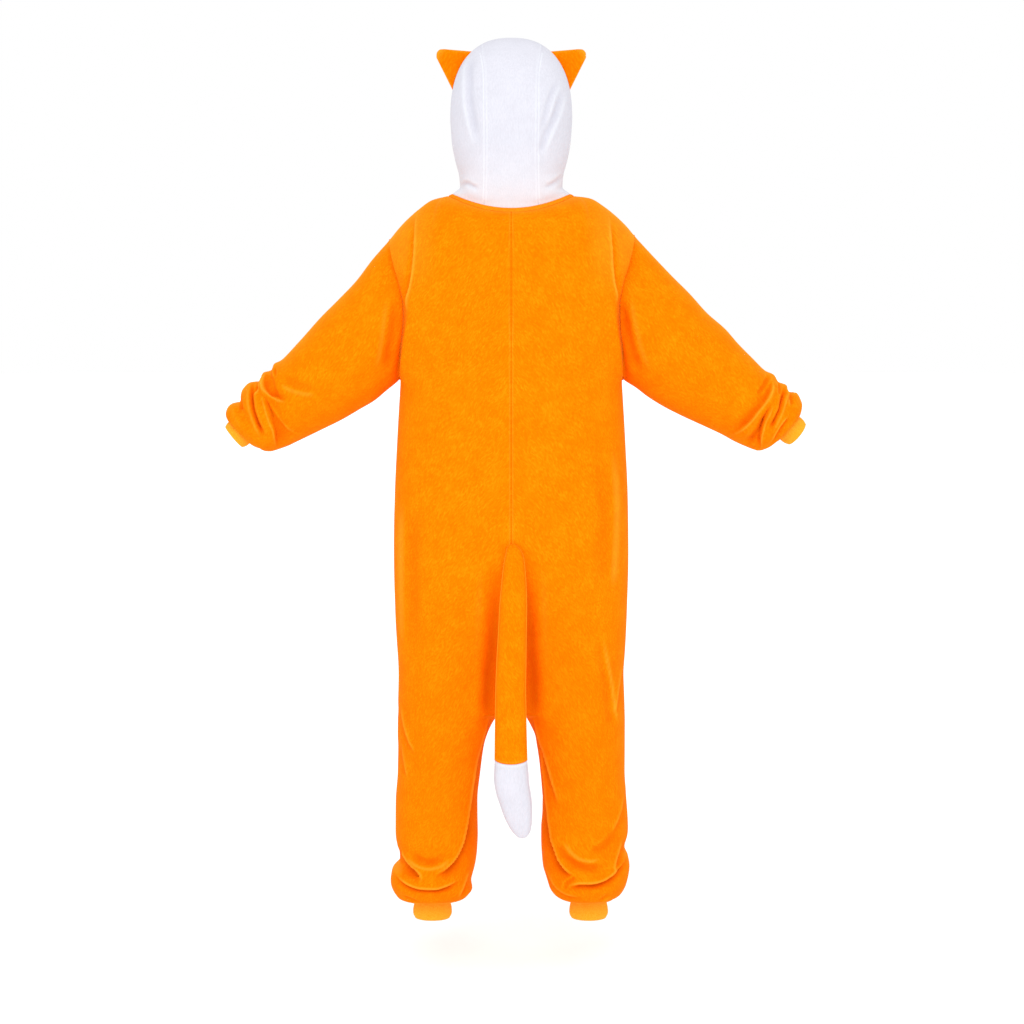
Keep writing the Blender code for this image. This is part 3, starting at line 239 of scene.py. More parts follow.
# %% Sleeve and cuff sizes
SLEEVE = {
    "left": table(
        "top_x top_z under_x under_z half_depth bow",
        (0.2487, -0.1172, 0.2210, -0.3476, 0.076, 0.017), (0.2768, -0.1540, 0.2457, -0.3680, 0.081, 0.010),
        (0.3098, -0.1884, 0.2720, -0.3835, 0.082, 0.005), (0.3409, -0.2193, 0.3020, -0.4010, 0.080, 0.002),
        (0.3795, -0.2623, 0.3421, -0.4208, 0.077, 0.000), (0.4125, -0.2960, 0.3735, -0.4360, 0.073, 0.000),
        (0.4250, -0.3025, 0.3880, -0.4430, 0.074, 0.000), (0.4295, -0.3135, 0.3980, -0.4480, 0.069, 0.000),
        (0.4440, -0.3180, 0.4080, -0.4520, 0.071, 0.000), (0.4520, -0.3330, 0.4170, -0.4550, 0.065, 0.000),
        (0.4680, -0.3355, 0.4250, -0.4575, 0.066, 0.000), (0.4835, -0.3520, 0.4330, -0.4592, 0.063, 0.000),
        (0.4865, -0.3695, 0.4400, -0.4590, 0.058, 0.000), (0.5010, -0.3735, 0.4455, -0.4575, 0.055, 0.000),
        (0.5100, -0.3830, 0.4515, -0.4540, 0.048, 0.000), (0.5122, -0.3925, 0.4591, -0.4514, 0.040, 0.000),
        (0.5078, -0.4027, 0.4659, -0.4460, 0.031, 0.000)),
    "right": table(
        "top_x top_z under_x under_z half_depth bow",
        (0.2514, -0.1083, 0.2210, -0.3430, 0.076, 0.017), (0.2862, -0.1446, 0.2457, -0.3615, 0.081, 0.010),
        (0.3196, -0.1777, 0.2760, -0.3800, 0.082, 0.005), (0.3502, -0.2114, 0.3110, -0.3975, 0.080, 0.002),
        (0.3830, -0.2400, 0.3460, -0.4135, 0.077, 0.000), (0.4060, -0.2660, 0.3760, -0.4275, 0.074, 0.000),
        (0.4309, -0.2911, 0.4000, -0.4405, 0.072, 0.000), (0.4560, -0.3150, 0.4170, -0.4485, 0.070, 0.000),
        (0.4705, -0.3215, 0.4280, -0.4530, 0.070, 0.000), (0.4790, -0.3345, 0.4360, -0.4560, 0.065, 0.000),
        (0.4930, -0.3400, 0.4430, -0.4578, 0.064, 0.000), (0.4985, -0.3520, 0.4490, -0.4575, 0.060, 0.000),
        (0.5110, -0.3540, 0.4549, -0.4555, 0.057, 0.000), (0.5185, -0.3650, 0.4600, -0.4535, 0.052, 0.000),
        (0.5218, -0.3760, 0.4657, -0.4500, 0.047, 0.000), (0.5205, -0.3865, 0.4722, -0.4447, 0.040, 0.000),
        (0.5162, -0.3958, 0.4789, -0.4391, 0.031, 0.000))}
WRIST = {"left": (0.4983, -0.4338, 39.6), "right": (0.5134, -0.4283, 38.6)}   # end x, end z, lean
WRIST_RADIUS = 0.0258
WRIST_LENGTH = 0.046
WRIST_TUCK = 0.030
ANKLE_RADIUS = 0.0351
ANKLE_TOP_Z = -1.2600
ANKLE_END_Z = -1.3130
ANKLE_ACROSS = {"left": 0.1435, "right": 0.1410}
RIB_WALL = 0.0030
LAY_GAP = 0.0004
print("sleeve rings", len(SLEEVE["left"]["top_x"]))

# %% [markdown]
# ## Laying out the panels
#
# A panel is a grid of points: each row runs from the centre seam, or from the inseam lower down, round
# to the side seam, and the rows climb from the cuff to the shoulder. Below the seat the two legs' ovals
# merge into one torso, quickly at the centre seam, which makes the cleft, and slowly beside it.

# %% Rows of a body panel
def leg_section(level, face, columns, inner, outer, depth, squareness):
    turn = math.pi * columns
    swing = (1 + power(np.cos(turn), squareness)) / 2
    pinch = 1 + CROTCH_PINCH * np.exp(-np.maximum(CROTCH_Z - level, 0) / PINCH_FADE)
    across = outer * (1 - swing) + inner * swing ** pinch
    away = face * depth * power(np.sin(turn), squareness)
    return np.stack(np.broadcast_arrays(across, away, level), -1)


def leg_rows(side, word, places, columns):
    sizes = [read(LEG[side], name, places)[:, None]
             for name in ("height", "inner", "outer", word, "squareness")]
    return leg_section(sizes[0], FACES[word], columns, *sizes[1:])


def body_rows(word, heights, columns):
    level = heights[:, None]
    turn = math.pi / 2 * columns
    half_width = read(BODY, "half_width", heights, "height")[:, None]
    depth = read(BODY, word, heights, "height")[:, None]
    across = half_width * power(np.sin(turn), BODY_SQUARENESS)
    away = FACES[word] * depth * power(np.cos(turn), BODY_SQUARENESS)
    torso = np.stack(np.broadcast_arrays(across, away, level), -1)
    leg = leg_section(level, FACES[word], columns, 0.0, half_width, LEG["left"][word][-1],
                      LEG["left"]["squareness"][-1])
    climb = np.minimum((level - CROTCH_Z) / SEAT_RISE, 1.0)
    at_seam = (1 - (1 - climb) ** 2) ** (CLEFT_POWER + np.minimum(CLEFT_SOFTNESS * columns, 1.0))
    merged = mix(at_seam, ease(climb), ease(columns / CLEFT_SHARE))
    return mix(leg, torso, merged[..., None])


print("torso rows at two heights:", body_rows("back", np.array([-0.8, -0.5]), np.array([0.0, 1.0])).shape)

# %% [markdown]
# Above the underarm a panel narrows to the shoulder. Its outer edge follows the armhole and its top
# follows the neck and then the shoulder seam, and the rows between are blended from one to the other.
# The back stays full up to the shoulder blades before it bends over to the seam.

# %% Yoke and columns of a body panel
def panel_top(side, word, columns):
    turn = curve(np.linspace(0, SHOULDER_COLUMN, len(NECK_TURNS)), NECK_TURNS, columns)
    neck = neck_point(BODY_SEAM, turn if FACES[word] > 0 else 180 - turn)
    last = len(SHOULDER[side]["across"]) - 1
    share = (columns - SHOULDER_COLUMN) / (1 - SHOULDER_COLUMN) * last
    across, height = (read(SHOULDER[side], name, share) for name in ("across", "height"))
    seam = np.stack([across, np.zeros_like(across), height], -1)
    return np.where((columns < SHOULDER_COLUMN)[:, None], neck, seam)


def yoke_rows(side, word, climbs, columns):
    """Rows between the underarm, climb 0, and the neck and shoulder, climb 1."""
    climb = climbs[:, None]
    turn = math.pi / 2 * columns
    edge_rise = (1 - np.cos(math.pi * climb)) / 2
    rise = mix(np.sin(math.pi / 2 * climb), edge_rise, columns ** 2)
    edge = armhole_point(side, word, edge_rise[:, 0])
    top = panel_top(side, word, columns)
    squareness = mix(BODY_SQUARENESS, BLADE_SQUARENESS, np.sin(math.pi * np.minimum(climb, 0.5)))
    across = mix(edge[:, :1] * power(np.sin(turn), squareness), top[:, 0], climb ** 2)
    across[:, -1] = edge[:, 0]
    height = mix(UNDERARM_Z, top[:, 2], rise)
    depth = FACES[word] * BODY[word][-1]
    crest = top[:, 1] + (depth - top[:, 1]) * np.sqrt(np.maximum(1 - rise ** CREST_POWER, 0))
    fullness = mix(power(np.cos(turn), squareness), 1.0, climb ** CREST_POWER)
    fullness[:, -1] = 0.0
    return np.stack([across, mix(edge[:, 1:2], crest, fullness), height], -1)


PANEL_STEPS = [1.0, 1.2, 1.5, 2.0, 2.8] + [3.4] * 66 + [2.8, 2.0, 1.5, 1.2, 1.0]   # fine at seams
ANKLE_STEP = 0.0020
BODY_STEP = 0.0046
ANKLE_PLACES = 10.0           # place in the leg's table up to which the cloth is gathered
WAIST_Z = np.array([-0.600])
SEAM_ROWS = [0.990, 0.996]    # extra rows beside a seam, as shares of the way there
WAIST_SAMPLES = 3000          # places measured when columns or rows are spaced
ANKLE_SAMPLES = 400
LEG_SAMPLES = 300
YOKE_SAMPLES = 200


def panel_columns():
    shares = (1 - np.cos(math.pi * np.linspace(0, 1, WAIST_SAMPLES))) / 2
    waist = body_rows("back", WAIST_Z, shares)[0]
    arc = np.concatenate([[0], np.cumsum(np.linalg.norm(np.diff(waist, axis=0), axis=-1))])
    wanted = np.concatenate([[0], np.cumsum(PANEL_STEPS)])
    return np.interp(wanted / wanted[-1] * arc[-1], arc, shares)


columns = panel_columns()


def panel_points(side, word):
    def legs(places):
        return leg_rows(side, "back", places, columns)

    def yoke(climbs):
        return yoke_rows(side, "back", climbs, columns)

    low = even_places(legs, np.linspace(0, ANKLE_PLACES, ANKLE_SAMPLES), ANKLE_STEP)
    top = len(LEG[side]["height"]) - 1
    high = even_places(legs, np.linspace(ANKLE_PLACES, top, LEG_SAMPLES), BODY_STEP)
    heights = np.linspace(CROTCH_Z, UNDERARM_Z, int((UNDERARM_Z - CROTCH_Z) / BODY_STEP))
    yoke_climbs = even_places(yoke, np.linspace(0, 1, YOKE_SAMPLES), BODY_STEP)
    climbs = np.sort(np.append(yoke_climbs, SEAM_ROWS))
    rows = [leg_rows(side, word, np.append(low, high[1:]), columns),
            body_rows(word, heights[1:], columns), yoke_rows(side, word, climbs[1:], columns)]
    return np.concatenate(rows)


print("one back panel has", panel_points("left", "back").shape[:2], "points")

# %% [markdown]
# ## Laying out sleeves and cuffs
#
# Each ring starts at its top and goes round behind, so every sleeve is a closed tube whose first and
# last columns meet along the top. The first ring is the armhole's own edge and the last one sits on the
# cuff. A rib cuff is doubled: its cloth goes down outside, folds at the open end and comes back inside.

# %% Rings of a sleeve and of a cuff
SLEEVE_COLUMNS = 180
SLEEVE_STEP = 0.0036
WRIST_STEP = 0.0021
GATHER_RING = 5               # ring from which the sleeve is gathered
SLEEVE_SAMPLES = 400          # places measured when rings are spaced, above the gathers and in them
GATHER_SAMPLES = 600
ARMHOLE_ROWS = np.array([0.3, 0.65])   # extra rows beside the armhole, as shares of the first step
ring_turn = np.linspace(0, 2 * math.pi, SLEEVE_COLUMNS + 1)


def armhole_ring(side):
    half = SLEEVE_COLUMNS // 2
    rises = (1 - np.cos(math.pi * np.arange(half + 1) / half)) / 2
    behind = armhole_point(side, "back", rises[::-1])
    return np.vstack([behind, armhole_point(side, "front", rises)[1:]])


def sleeve_ring(side, number):
    ring = {name: sizes[number] for name, sizes in SLEEVE[side].items()}
    top = np.array([ring["top_x"], 0.0, ring["top_z"]])
    under = np.array([ring["under_x"], 0.0, ring["under_z"]])
    points = (top + under) / 2 + np.cos(ring_turn)[:, None] * (top - under) / 2
    points[:, 1] += ring["half_depth"] * np.sin(ring_turn)
    points[:, 0] -= ring["bow"] * np.sin(ring_turn) ** 2
    return points


def wrist_ring(side, from_end, radius, turn):
    end_x, end_z, lean = WRIST[side]
    lean = math.radians(lean)
    axis = np.array([math.cos(lean), 0.0, -math.sin(lean)])
    upward = np.array([math.sin(lean), 0.0, math.cos(lean)])
    points = np.array([end_x, 0.0, end_z]) - axis * from_end
    points = points + (radius * np.cos(turn))[:, None] * upward
    points[:, 1] += radius * np.sin(turn)
    return points


def sleeve_points(side):
    numbers = range(len(SLEEVE[side]["top_x"]))
    rings = [armhole_ring(side)] + [sleeve_ring(side, number) for number in numbers]
    rings.append(wrist_ring(side, WRIST_TUCK, WRIST_RADIUS + LAY_GAP, ring_turn))
    knots = np.arange(len(rings))

    def tube(places):
        return curve(knots, rings, places)

    upper = even_places(tube, np.linspace(0, GATHER_RING, SLEEVE_SAMPLES), SLEEVE_STEP)
    gathered = even_places(tube, np.linspace(GATHER_RING, knots[-1], GATHER_SAMPLES), WRIST_STEP)
    return tube(np.concatenate([[0], upper[1] * ARMHOLE_ROWS, upper[1:], gathered[1:]]))


print("one sleeve has", sleeve_points("left").shape[:2], "points")

# %% [markdown]
# Rib knit is always used doubled: the band is folded in half, so the open end is a fold and both raw
# edges are in the seam. So each cuff is one closed loop of rows, down outside and up again inside, and
# its ribs are a fine wave round the band, about 2.5 mm apart.

# %% Rows of the rib cuffs
RIB_PITCH = 0.0025
RIB_HEIGHT = 0.00032
RIB_POINTS = 4                # columns to one rib
FOLD_RADIUS = RIB_WALL / 2
CUFF_STEP = 0.0042
CUFF_CROWDING = 1.5           # rows of a cuff lie closer together at its open end
FLARE_PLACE = 0.012           # distance from the open end at which a cuff is widest
FLARE_WIDTH = 0.012
WRIST_FLARE = 0.0012
WRIST_CURL = 0.0020           # how far a cuff's open end curls in, and over what length
ANKLE_FLARE = 0.0004
ANKLE_CURL = 0.0034
CURL_LENGTH = 0.0048
ANKLE_WAIST = 0.0030          # how far the ankle's rib draws in below the leg
WAIST_PLACE = 0.034
WAIST_WIDTH = 0.012
WRIST_SLANT = {"left": 0.0, "right": 0.0035}   # how much longer a cuff is behind than in front
ANKLE_RISE = 0.0030           # how much higher the open end sits once it has curled in
ANKLE_OPEN_Z = ANKLE_END_Z + ANKLE_RISE
FOLD_STEPS = 7                # points round the fold at the open end


def band_profile(length, flare, curl, waist=0.0):
    """Distance from the open end and offset from the radius, once round the doubled band."""
    even = np.linspace(1, 0, int(length / CUFF_STEP))
    down = mix(FOLD_RADIUS, length, even ** CUFF_CROWDING)
    bend = np.linspace(0, math.pi, FOLD_STEPS)[1:-1]
    offset = (flare * bump_at(down, FLARE_PLACE, FLARE_WIDTH) - curl * bump_at(down, 0, CURL_LENGTH)
              - waist * bump_at(down, WAIST_PLACE, WAIST_WIDTH))
    outside = np.stack([down, offset], -1)
    tip = offset[-1]
    turned = np.stack([FOLD_RADIUS * (1 - np.sin(bend)), tip + FOLD_RADIUS * (np.cos(bend) - 1)], -1)
    inside = outside[::-1] - (0, RIB_WALL)
    return np.vstack([outside, turned, inside, outside[:1]])


def rib_turns(radius):
    ribs = round(2 * math.pi * radius / RIB_PITCH)
    turns = np.linspace(0, 2 * math.pi, ribs * RIB_POINTS + 1)
    return turns, RIB_HEIGHT * (np.cos(ribs * turns) - 1)


def wrist_cuff_points(side):
    turns, wave = rib_turns(WRIST_RADIUS)
    profile = band_profile(WRIST_LENGTH, WRIST_FLARE, WRIST_CURL)
    slant = WRIST_SLANT[side] * np.sin(turns)[:, None]
    rings = []
    for place, offset in profile:
        longer = slant * (1 - place / WRIST_LENGTH)
        rings.append(wrist_ring(side, place - longer, WRIST_RADIUS + offset + wave, turns))
    return np.array(rings)


def ankle_cuff_points(side):
    turns, wave = rib_turns(ANKLE_RADIUS)
    profile = band_profile(ANKLE_TOP_Z - ANKLE_OPEN_Z, ANKLE_FLARE, ANKLE_CURL, ANKLE_WAIST)
    rings = []
    for place, offset in profile:
        radius = ANKLE_RADIUS + offset + wave
        across = ANKLE_ACROSS[side] - radius * np.cos(turns)
        height = np.full_like(turns, ANKLE_OPEN_Z + place)
        rings.append(np.stack([across, radius * np.sin(turns), height], -1))
    return np.array(rings)


print("one ankle cuff has", ankle_cuff_points("left").shape[:2], "points")

# %% [markdown]
# ## Laying out the hood
#
# The hood is cut in three, a long strip over the middle and a side piece at each ear, because a flat
# cloth can't make a dome in two pieces without a point at the back. The side piece fills the space
# between the strip's edge, the face and the neck: a patch between four edges, each point being the mean
# of the two ways across, pushed out to the dome.

# %% Hood sizes
HOOD = table(
    "height half_width back front",
    (-0.085, 0.1060, 0.075, 0.0960), (-0.026, 0.1025, 0.075, 0.0985), (0.000, 0.0960, 0.083, 0.1020),
    (0.012, 0.0912, 0.088, 0.1040), (0.030, 0.0925, 0.094, 0.1080), (0.060, 0.1000, 0.102, 0.1150),
    (0.090, 0.1055, 0.108, 0.1200), (0.130, 0.1085, 0.110, 0.1250))
HOOD_MIDDLE_Z = 0.130
HOOD_TOP_Z = 0.275
HOOD_ROUNDNESS = 2.4
STRIP = table(
    "height turn half_width",
    (-0.0262, 0, 0.0477), (-0.004, 0, 0.0468), (0.020, 0, 0.0462), (0.045, 0, 0.0455),
    (0.075, 0, 0.0449), (0.104, 0, 0.0450), (0.130, 0, 0.0455), (0.130, 17, 0.0460),
    (0.130, 34, 0.0475), (0.130, 52, 0.0515), (0.130, 73, 0.0530), (0.130, 94, 0.0525),
    (0.130, 115, 0.0510), (0.130, 136, 0.0490))
CROWN_ROW = 9                 # row of the strip where the side's back edge becomes its top edge
FACE_EDGE = table(
    "forward height",
    (0.0950, -0.0850), (0.0945, -0.0600), (0.0900, -0.0250), (0.0830, 0.0200), (0.0800, 0.0750),
    (0.0820, 0.1300), (0.0860, 0.1850))
STRIP_TURN = NECK_TURNS[2]    # turn of the neck edge where the strip's seam comes down
HOOD_STEP = 0.0034
HOOD_COLUMNS = 26


def hood_half_width(away, height):
    level = np.minimum(height, HOOD_MIDDLE_Z)
    reach = np.where(away > 0, read(HOOD, "back", level, "height"), read(HOOD, "front", level, "height"))
    climb = np.maximum(height - HOOD_MIDDLE_Z, 0) / (HOOD_TOP_Z - HOOD_MIDDLE_Z)
    left = 1 - np.abs(away / reach) ** HOOD_ROUNDNESS - climb ** HOOD_ROUNDNESS
    return read(HOOD, "half_width", level, "height") * np.maximum(left, 0) ** (1 / HOOD_ROUNDNESS)


def hood_point(height, turn, across):
    """Point of the hood's strip, at a turn over the dome in degrees and a distance across."""
    turn = np.radians(turn)
    reach = np.where(turn < math.pi / 2, read(HOOD, "back", height, "height"),
                     read(HOOD, "front", height, "height"))
    wide = read(HOOD, "half_width", height, "height")
    inside = (1 - (np.abs(across) / wide) ** HOOD_ROUNDNESS) ** (1 / HOOD_ROUNDNESS)
    away = reach * inside * power(np.cos(turn), 2 / HOOD_ROUNDNESS)
    climb = power(np.sin(turn), 2 / HOOD_ROUNDNESS)
    rise = (HOOD_TOP_Z - HOOD_MIDDLE_Z) * inside * climb
    return np.stack(np.broadcast_arrays(across, away, height + rise), -1)


print("hood at the ears is", round(float(2000 * hood_half_width(np.array(0.0), HOOD_MIDDLE_Z))), "mm wide")

# %% [markdown]
# The strip's rows follow its edge at an even step. The neck's edge isn't quite the hood's own form, so
# the first centimetre and a half is blended into it. The side's four edges are the neck, the strip in
# two parts, and the face.

# %% Strip and side of the hood
NECK_BLEND = 0.016
STRIP_SAMPLES = 500
STRIP_CROWDING = 0.7          # how much closer the strip's columns lie at its seams
NECK_SAMPLES = 400
STRIP_NECK_SAMPLES = 50


def strip_sizes(places):
    return [read(STRIP, name, places) for name in ("height", "turn", "half_width")]


def strip_edge(places):
    height, turn, half_width = strip_sizes(places)
    points = hood_point(height, turn, half_width)
    away = np.linalg.norm(points - points[0], axis=-1)
    share = (1 - ease(away / NECK_BLEND))[:, None]
    return points + share * (neck_point(HOOD_SEAM, STRIP_TURN) - points[0])


def strip_places(first, last):
    dense = np.linspace(first, last, STRIP_SAMPLES)
    return even_places(lambda places: strip_edge(places)[:, None], dense, HOOD_STEP)


back_places = strip_places(0, CROWN_ROW)
top_places = strip_places(CROWN_ROW, len(STRIP["height"]) - 1)


def hood_strip_points():
    places = np.append(back_places, top_places[1:])
    even = np.linspace(-1, 1, HOOD_COLUMNS + 1)
    shares = mix(even, np.sin(math.pi / 2 * even), STRIP_CROWDING)
    height, turn, half_width = (sizes[:, None] for sizes in strip_sizes(places))
    grid = hood_point(height, turn, half_width * shares)
    across = shares * hood_point(*strip_sizes(places[:1]))[0, 0]
    behind = np.linspace(0, STRIP_TURN, STRIP_NECK_SAMPLES)
    turns = np.interp(np.abs(across), neck_point(HOOD_SEAM, behind)[:, 0], behind)
    edge = neck_point(HOOD_SEAM, turns) * np.stack([np.sign(across)] + [np.ones_like(across)] * 2, -1)
    away = np.linalg.norm(grid - grid[:1], axis=-1)[..., None]
    return grid + (1 - ease(away / NECK_BLEND)) * (edge - grid[0])


print("hood strip", hood_strip_points().shape[:2], "points")

# %% [markdown]
# The patch of a side is the sum of the ways between its two pairs of edges, less the way between its
# corners, which would otherwise count twice. It is laid out as seen from the side and then pushed out.

# %% Side of the hood
def hood_side_points():
    back = strip_edge(back_places)
    top = hood_point(*strip_sizes(top_places))
    turns = np.linspace(STRIP_TURN, 180, NECK_SAMPLES)
    neck = neck_point(HOOD_SEAM, turns)
    arc = np.append(0, np.cumsum(np.linalg.norm(np.diff(neck, axis=0), axis=-1)))
    low = neck_point(HOOD_SEAM, np.interp(np.linspace(0, arc[-1], len(top)), arc, turns))
    climbs = np.linspace(0, 1, len(back))[:, None]
    shares = np.linspace(0, 1, len(top))
    face = {name: np.append(sizes, end) for (name, sizes), end in
            zip(FACE_EDGE.items(), (-top[-1, 1], top[-1, 2]))}
    places = climbs[:, 0] * (len(face["height"]) - 1)
    front = np.stack([-read(face, "forward", places), read(face, "height", places)], -1)
    seen = mix(back[:, None, 1:], front[:, None], shares[:, None]) + mix(
        low[:, 1:], top[:, 1:], climbs[..., None])
    low_corners = mix(low[0, 1:], low[-1, 1:], shares[:, None])
    top_corners = mix(top[0, 1:], top[-1, 1:], shares[:, None])
    seen = seen - mix(low_corners, top_corners, climbs[..., None])
    width = hood_half_width(seen[..., 0], seen[..., 1])
    grid = np.concatenate([width[..., None], seen], -1)
    reach = np.linalg.norm(grid - grid[:1], axis=-1)[..., None]
    blended = grid + (1 - ease(reach / NECK_BLEND)) * (low - grid[0])
    blended[:, 0], blended[-1], blended[0] = back, top, low
    return blended


print("hood side", hood_side_points().shape[:2], "points")

# %% [markdown]
# ## Laying out binding, ears and tail
#
# The seam of hood and body is covered by a folded tape, which is round on top and flat underneath. It
# goes from the throat round behind and back. Each ear and the tail are stuffed. They are nearly the same
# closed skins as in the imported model, only rounded towards their seams, as a stuffed piece is.

# %% Sizes of binding, ears and tail
TAPE_BULGE = 0.0011
TAPE_WALL = 0.0026
# an even painted light on the whole tape, which lifts it out of the hood's shade
TAPE_PAINTED_LIGHT = 0.30
TAPE_COLUMNS = 150            # from the throat to the centre back
TAPE_ROWS = 25                # round the tape's section
TAPE_TOP_ROUNDNESS = 0.8
TAPE_FOOT_ROUNDNESS = 0.5
EAR_FORWARD = 0.022
EAR_BASE = (0.2525, 0.1845)   # heights of the ends of the seam with the hood
EAR_EDGE_HALF = 0.0022
EAR_SWELL = 0.0070
EAR_ROUNDING = 0.7
EAR_THINNING = 0.70
EAR_RIM = 0.16                # share of an ear over which it rounds off to its seam
EAR_RIM_HALF = 0.12           # what is left of its half thickness at the seam itself, as a share
EAR_COLUMNS = 29              # from the hood to the tip
EAR_ROWS = 41                 # from the upper to the lower end of the seam with the hood
# painted highlight along an ear's edge, and painted shade at its foot by the hood
EAR_EDGE_PAINTED_HIGHLIGHT = 0.7
EAR_EDGE_START = 0.15
EAR_FOOT_PAINTED_SHADE = 0.42
EAR_FOOT_REACH = 0.30
EAR_TIP = table(
    "across height",
    (0.1195, 0.2575), (0.1262, 0.2570), (0.1308, 0.2540), (0.1332, 0.2492), (0.1334, 0.2435),
    (0.1312, 0.2380))
TAIL_SEAM_Z = -0.9915
TAIL_SAG = 0.0042             # how far the seam of the white tip hangs lower behind than at its sides
TAIL_SAG_REACH = 0.030
TAIL_PIPING = 0.0012          # height of the seam down either side, and the turn it covers, degrees
TAIL_PIPING_TURN = 4.0
TAIL_PIPED_WIDTH = 0.02       # half width from which the piping has its full height
TAIL_SAG_POWER = 1.5
TAIL_STEP = 0.0028
TAIL_SAMPLES = 600
TAIL_TURN_STEP = 5.0
TAIL_PLAIN_TURNS = ((0, 80), (105, 260), (285, 361))
PIPING_TURNS = TAIL_PIPING_TURN * np.array([-2.0, -1.4, -0.8, 0.0, 0.8, 1.4, 2.0])
TAIL = table(
    "height across half_width half_depth behind",
    (-0.6130, -0.0020, 0.0040, 0.0030, 0.1434), (-0.6190, -0.0030, 0.0100, 0.0070, 0.1478),
    (-0.6320, -0.0055, 0.0150, 0.0110, 0.1526), (-0.6500, -0.0052, 0.0180, 0.0145, 0.1574),
    (-0.6780, -0.0047, 0.0205, 0.0175, 0.1622), (-0.7200, -0.0035, 0.0230, 0.0190, 0.1652),
    (-0.7660, -0.0020, 0.0238, 0.0200, 0.1670), (-0.8200, -0.0002, 0.0250, 0.0210, 0.1677),
    (-0.8760, 0.0010, 0.0258, 0.0215, 0.1672), (-0.9350, 0.0009, 0.0268, 0.0222, 0.1660),
    (-0.9915, 0.0004, 0.0279, 0.0230, 0.1645))
TAIL_TIP = table(
    "height across half_width half_depth behind",
    (-0.9915, 0.0004, 0.0279, 0.0230, 0.1645), (-1.0250, -0.0002, 0.0300, 0.0240, 0.1638),
    (-1.0500, -0.0038, 0.0298, 0.0240, 0.1632), (-1.0720, -0.0085, 0.0275, 0.0225, 0.1627),
    (-1.0920, -0.0120, 0.0240, 0.0200, 0.1623), (-1.1090, -0.0155, 0.0195, 0.0165, 0.1620),
    (-1.1220, -0.0180, 0.0135, 0.0120, 0.1620), (-1.1300, -0.0190, 0.0060, 0.0060, 0.1620),
    (-1.1312, -0.0192, 0.0015, 0.0015, 0.1620))

print("ear", EAR_COLUMNS, "by", EAR_ROWS, "points, tail", len(TAIL["height"]), "rings")

# %% Layout of the binding and ears
def neck_tape_points():
    """Rows run round the tape's own section, columns from throat to throat."""
    turns = np.linspace(0, 180, TAPE_COLUMNS)
    upper, lower = (neck_point(edge, turns) for edge in (HOOD_SEAM, BODY_SEAM))
    upper, lower = (np.vstack([edge[::-1], edge[1:] * (-1, 1, 1)]) for edge in (upper, lower))
    rise = unit(upper - lower)
    outward = unit(np.cross(np.gradient(lower, axis=0), rise))
    section = np.linspace(0, 2 * math.pi, TAPE_ROWS)[:, None, None]
    width = (1 - np.cos(section)) / 2
    outside = TAPE_BULGE * power(np.sin(section), TAPE_TOP_ROUNDNESS)
    underneath = TAPE_WALL * power(np.sin(section), TAPE_FOOT_ROUNDNESS)
    height = np.where(section < math.pi, outside, underneath)
    return mix(lower, upper, width) + outward * height


def ear_grid():
    """Shares of the way to the tip, places along the seam with the hood, and the way to the edge."""
    shares = np.linspace(0, 1, EAR_COLUMNS)[:, None]
    places = (1 - np.cos(math.pi * np.linspace(0, 1, EAR_ROWS))) / 2
    to_edge = np.minimum(np.minimum(places, 1 - places) * 2, 1 - shares)
    return shares, places, to_edge


def ear_skins():
    shares, places, to_edge = ear_grid()
    height = mix(EAR_BASE[0], EAR_BASE[1], places)
    lift = 2 * LAY_GAP + EAR_EDGE_HALF / 4
    base = np.stack([hood_half_width(np.full_like(height, -EAR_FORWARD), height) + lift,
                     np.zeros_like(height), height + lift / 2], -1)
    last = (len(EAR_TIP["height"]) - 1) * places
    tip_across, tip_height = (read(EAR_TIP, name, last) for name in ("across", "height"))
    tip = np.stack([tip_across, np.zeros_like(last), tip_height], -1)
    middle = mix(base, tip, shares[..., None])
    swell = EAR_SWELL * np.sin(math.pi * places) ** EAR_ROUNDING * (1 - EAR_THINNING * shares)
    rim = np.sqrt(1 - (1 - np.minimum(to_edge / EAR_RIM, 1)) ** 2)
    half = (EAR_EDGE_HALF + swell) * mix(EAR_RIM_HALF, 1.0, rim)
    away = np.stack([np.zeros_like(half), half, np.zeros_like(half)], -1)
    return middle - (0, EAR_FORWARD, 0) + away, middle - (0, EAR_FORWARD, 0) - away


def ear_painted_light():
    """Painted shade where an ear meets the hood, and a painted highlight along its turned edge."""
    shares, _, to_edge = ear_grid()
    edge = EAR_EDGE_PAINTED_HIGHLIGHT * np.exp(-(to_edge / EAR_RIM) ** 2) * ease(shares / EAR_EDGE_START)
    return edge - EAR_FOOT_PAINTED_SHADE * np.exp(-shares / EAR_FOOT_REACH)


print("an ear is", round(float(np.ptp(ear_skins()[0][..., 2])) * 1000), "mm high")

# %% [markdown]
# A tail is two long halves sewn down both sides, and the seam stands out as a fine piping once it is
# stuffed. So its rings have more points there. The seam of the white tip hangs a little lower behind
# than at its sides.

# %% Layout of the tail
def tail_turns():
    """Turns round the tail, closer together at the seams down its sides."""
    between_seams = [np.arange(start, stop, TAIL_TURN_STEP) for start, stop in TAIL_PLAIN_TURNS]
    return np.radians(np.unique(np.concatenate([PIPING_TURNS + 90, PIPING_TURNS + 270, *between_seams])))


def from_side_seam(turn):
    """Angle between a turn and the nearer side seam, in shares of the piping's width."""
    return np.degrees(np.arcsin(np.clip(np.abs(np.cos(turn)), 0, 1))) / TAIL_PIPING_TURN


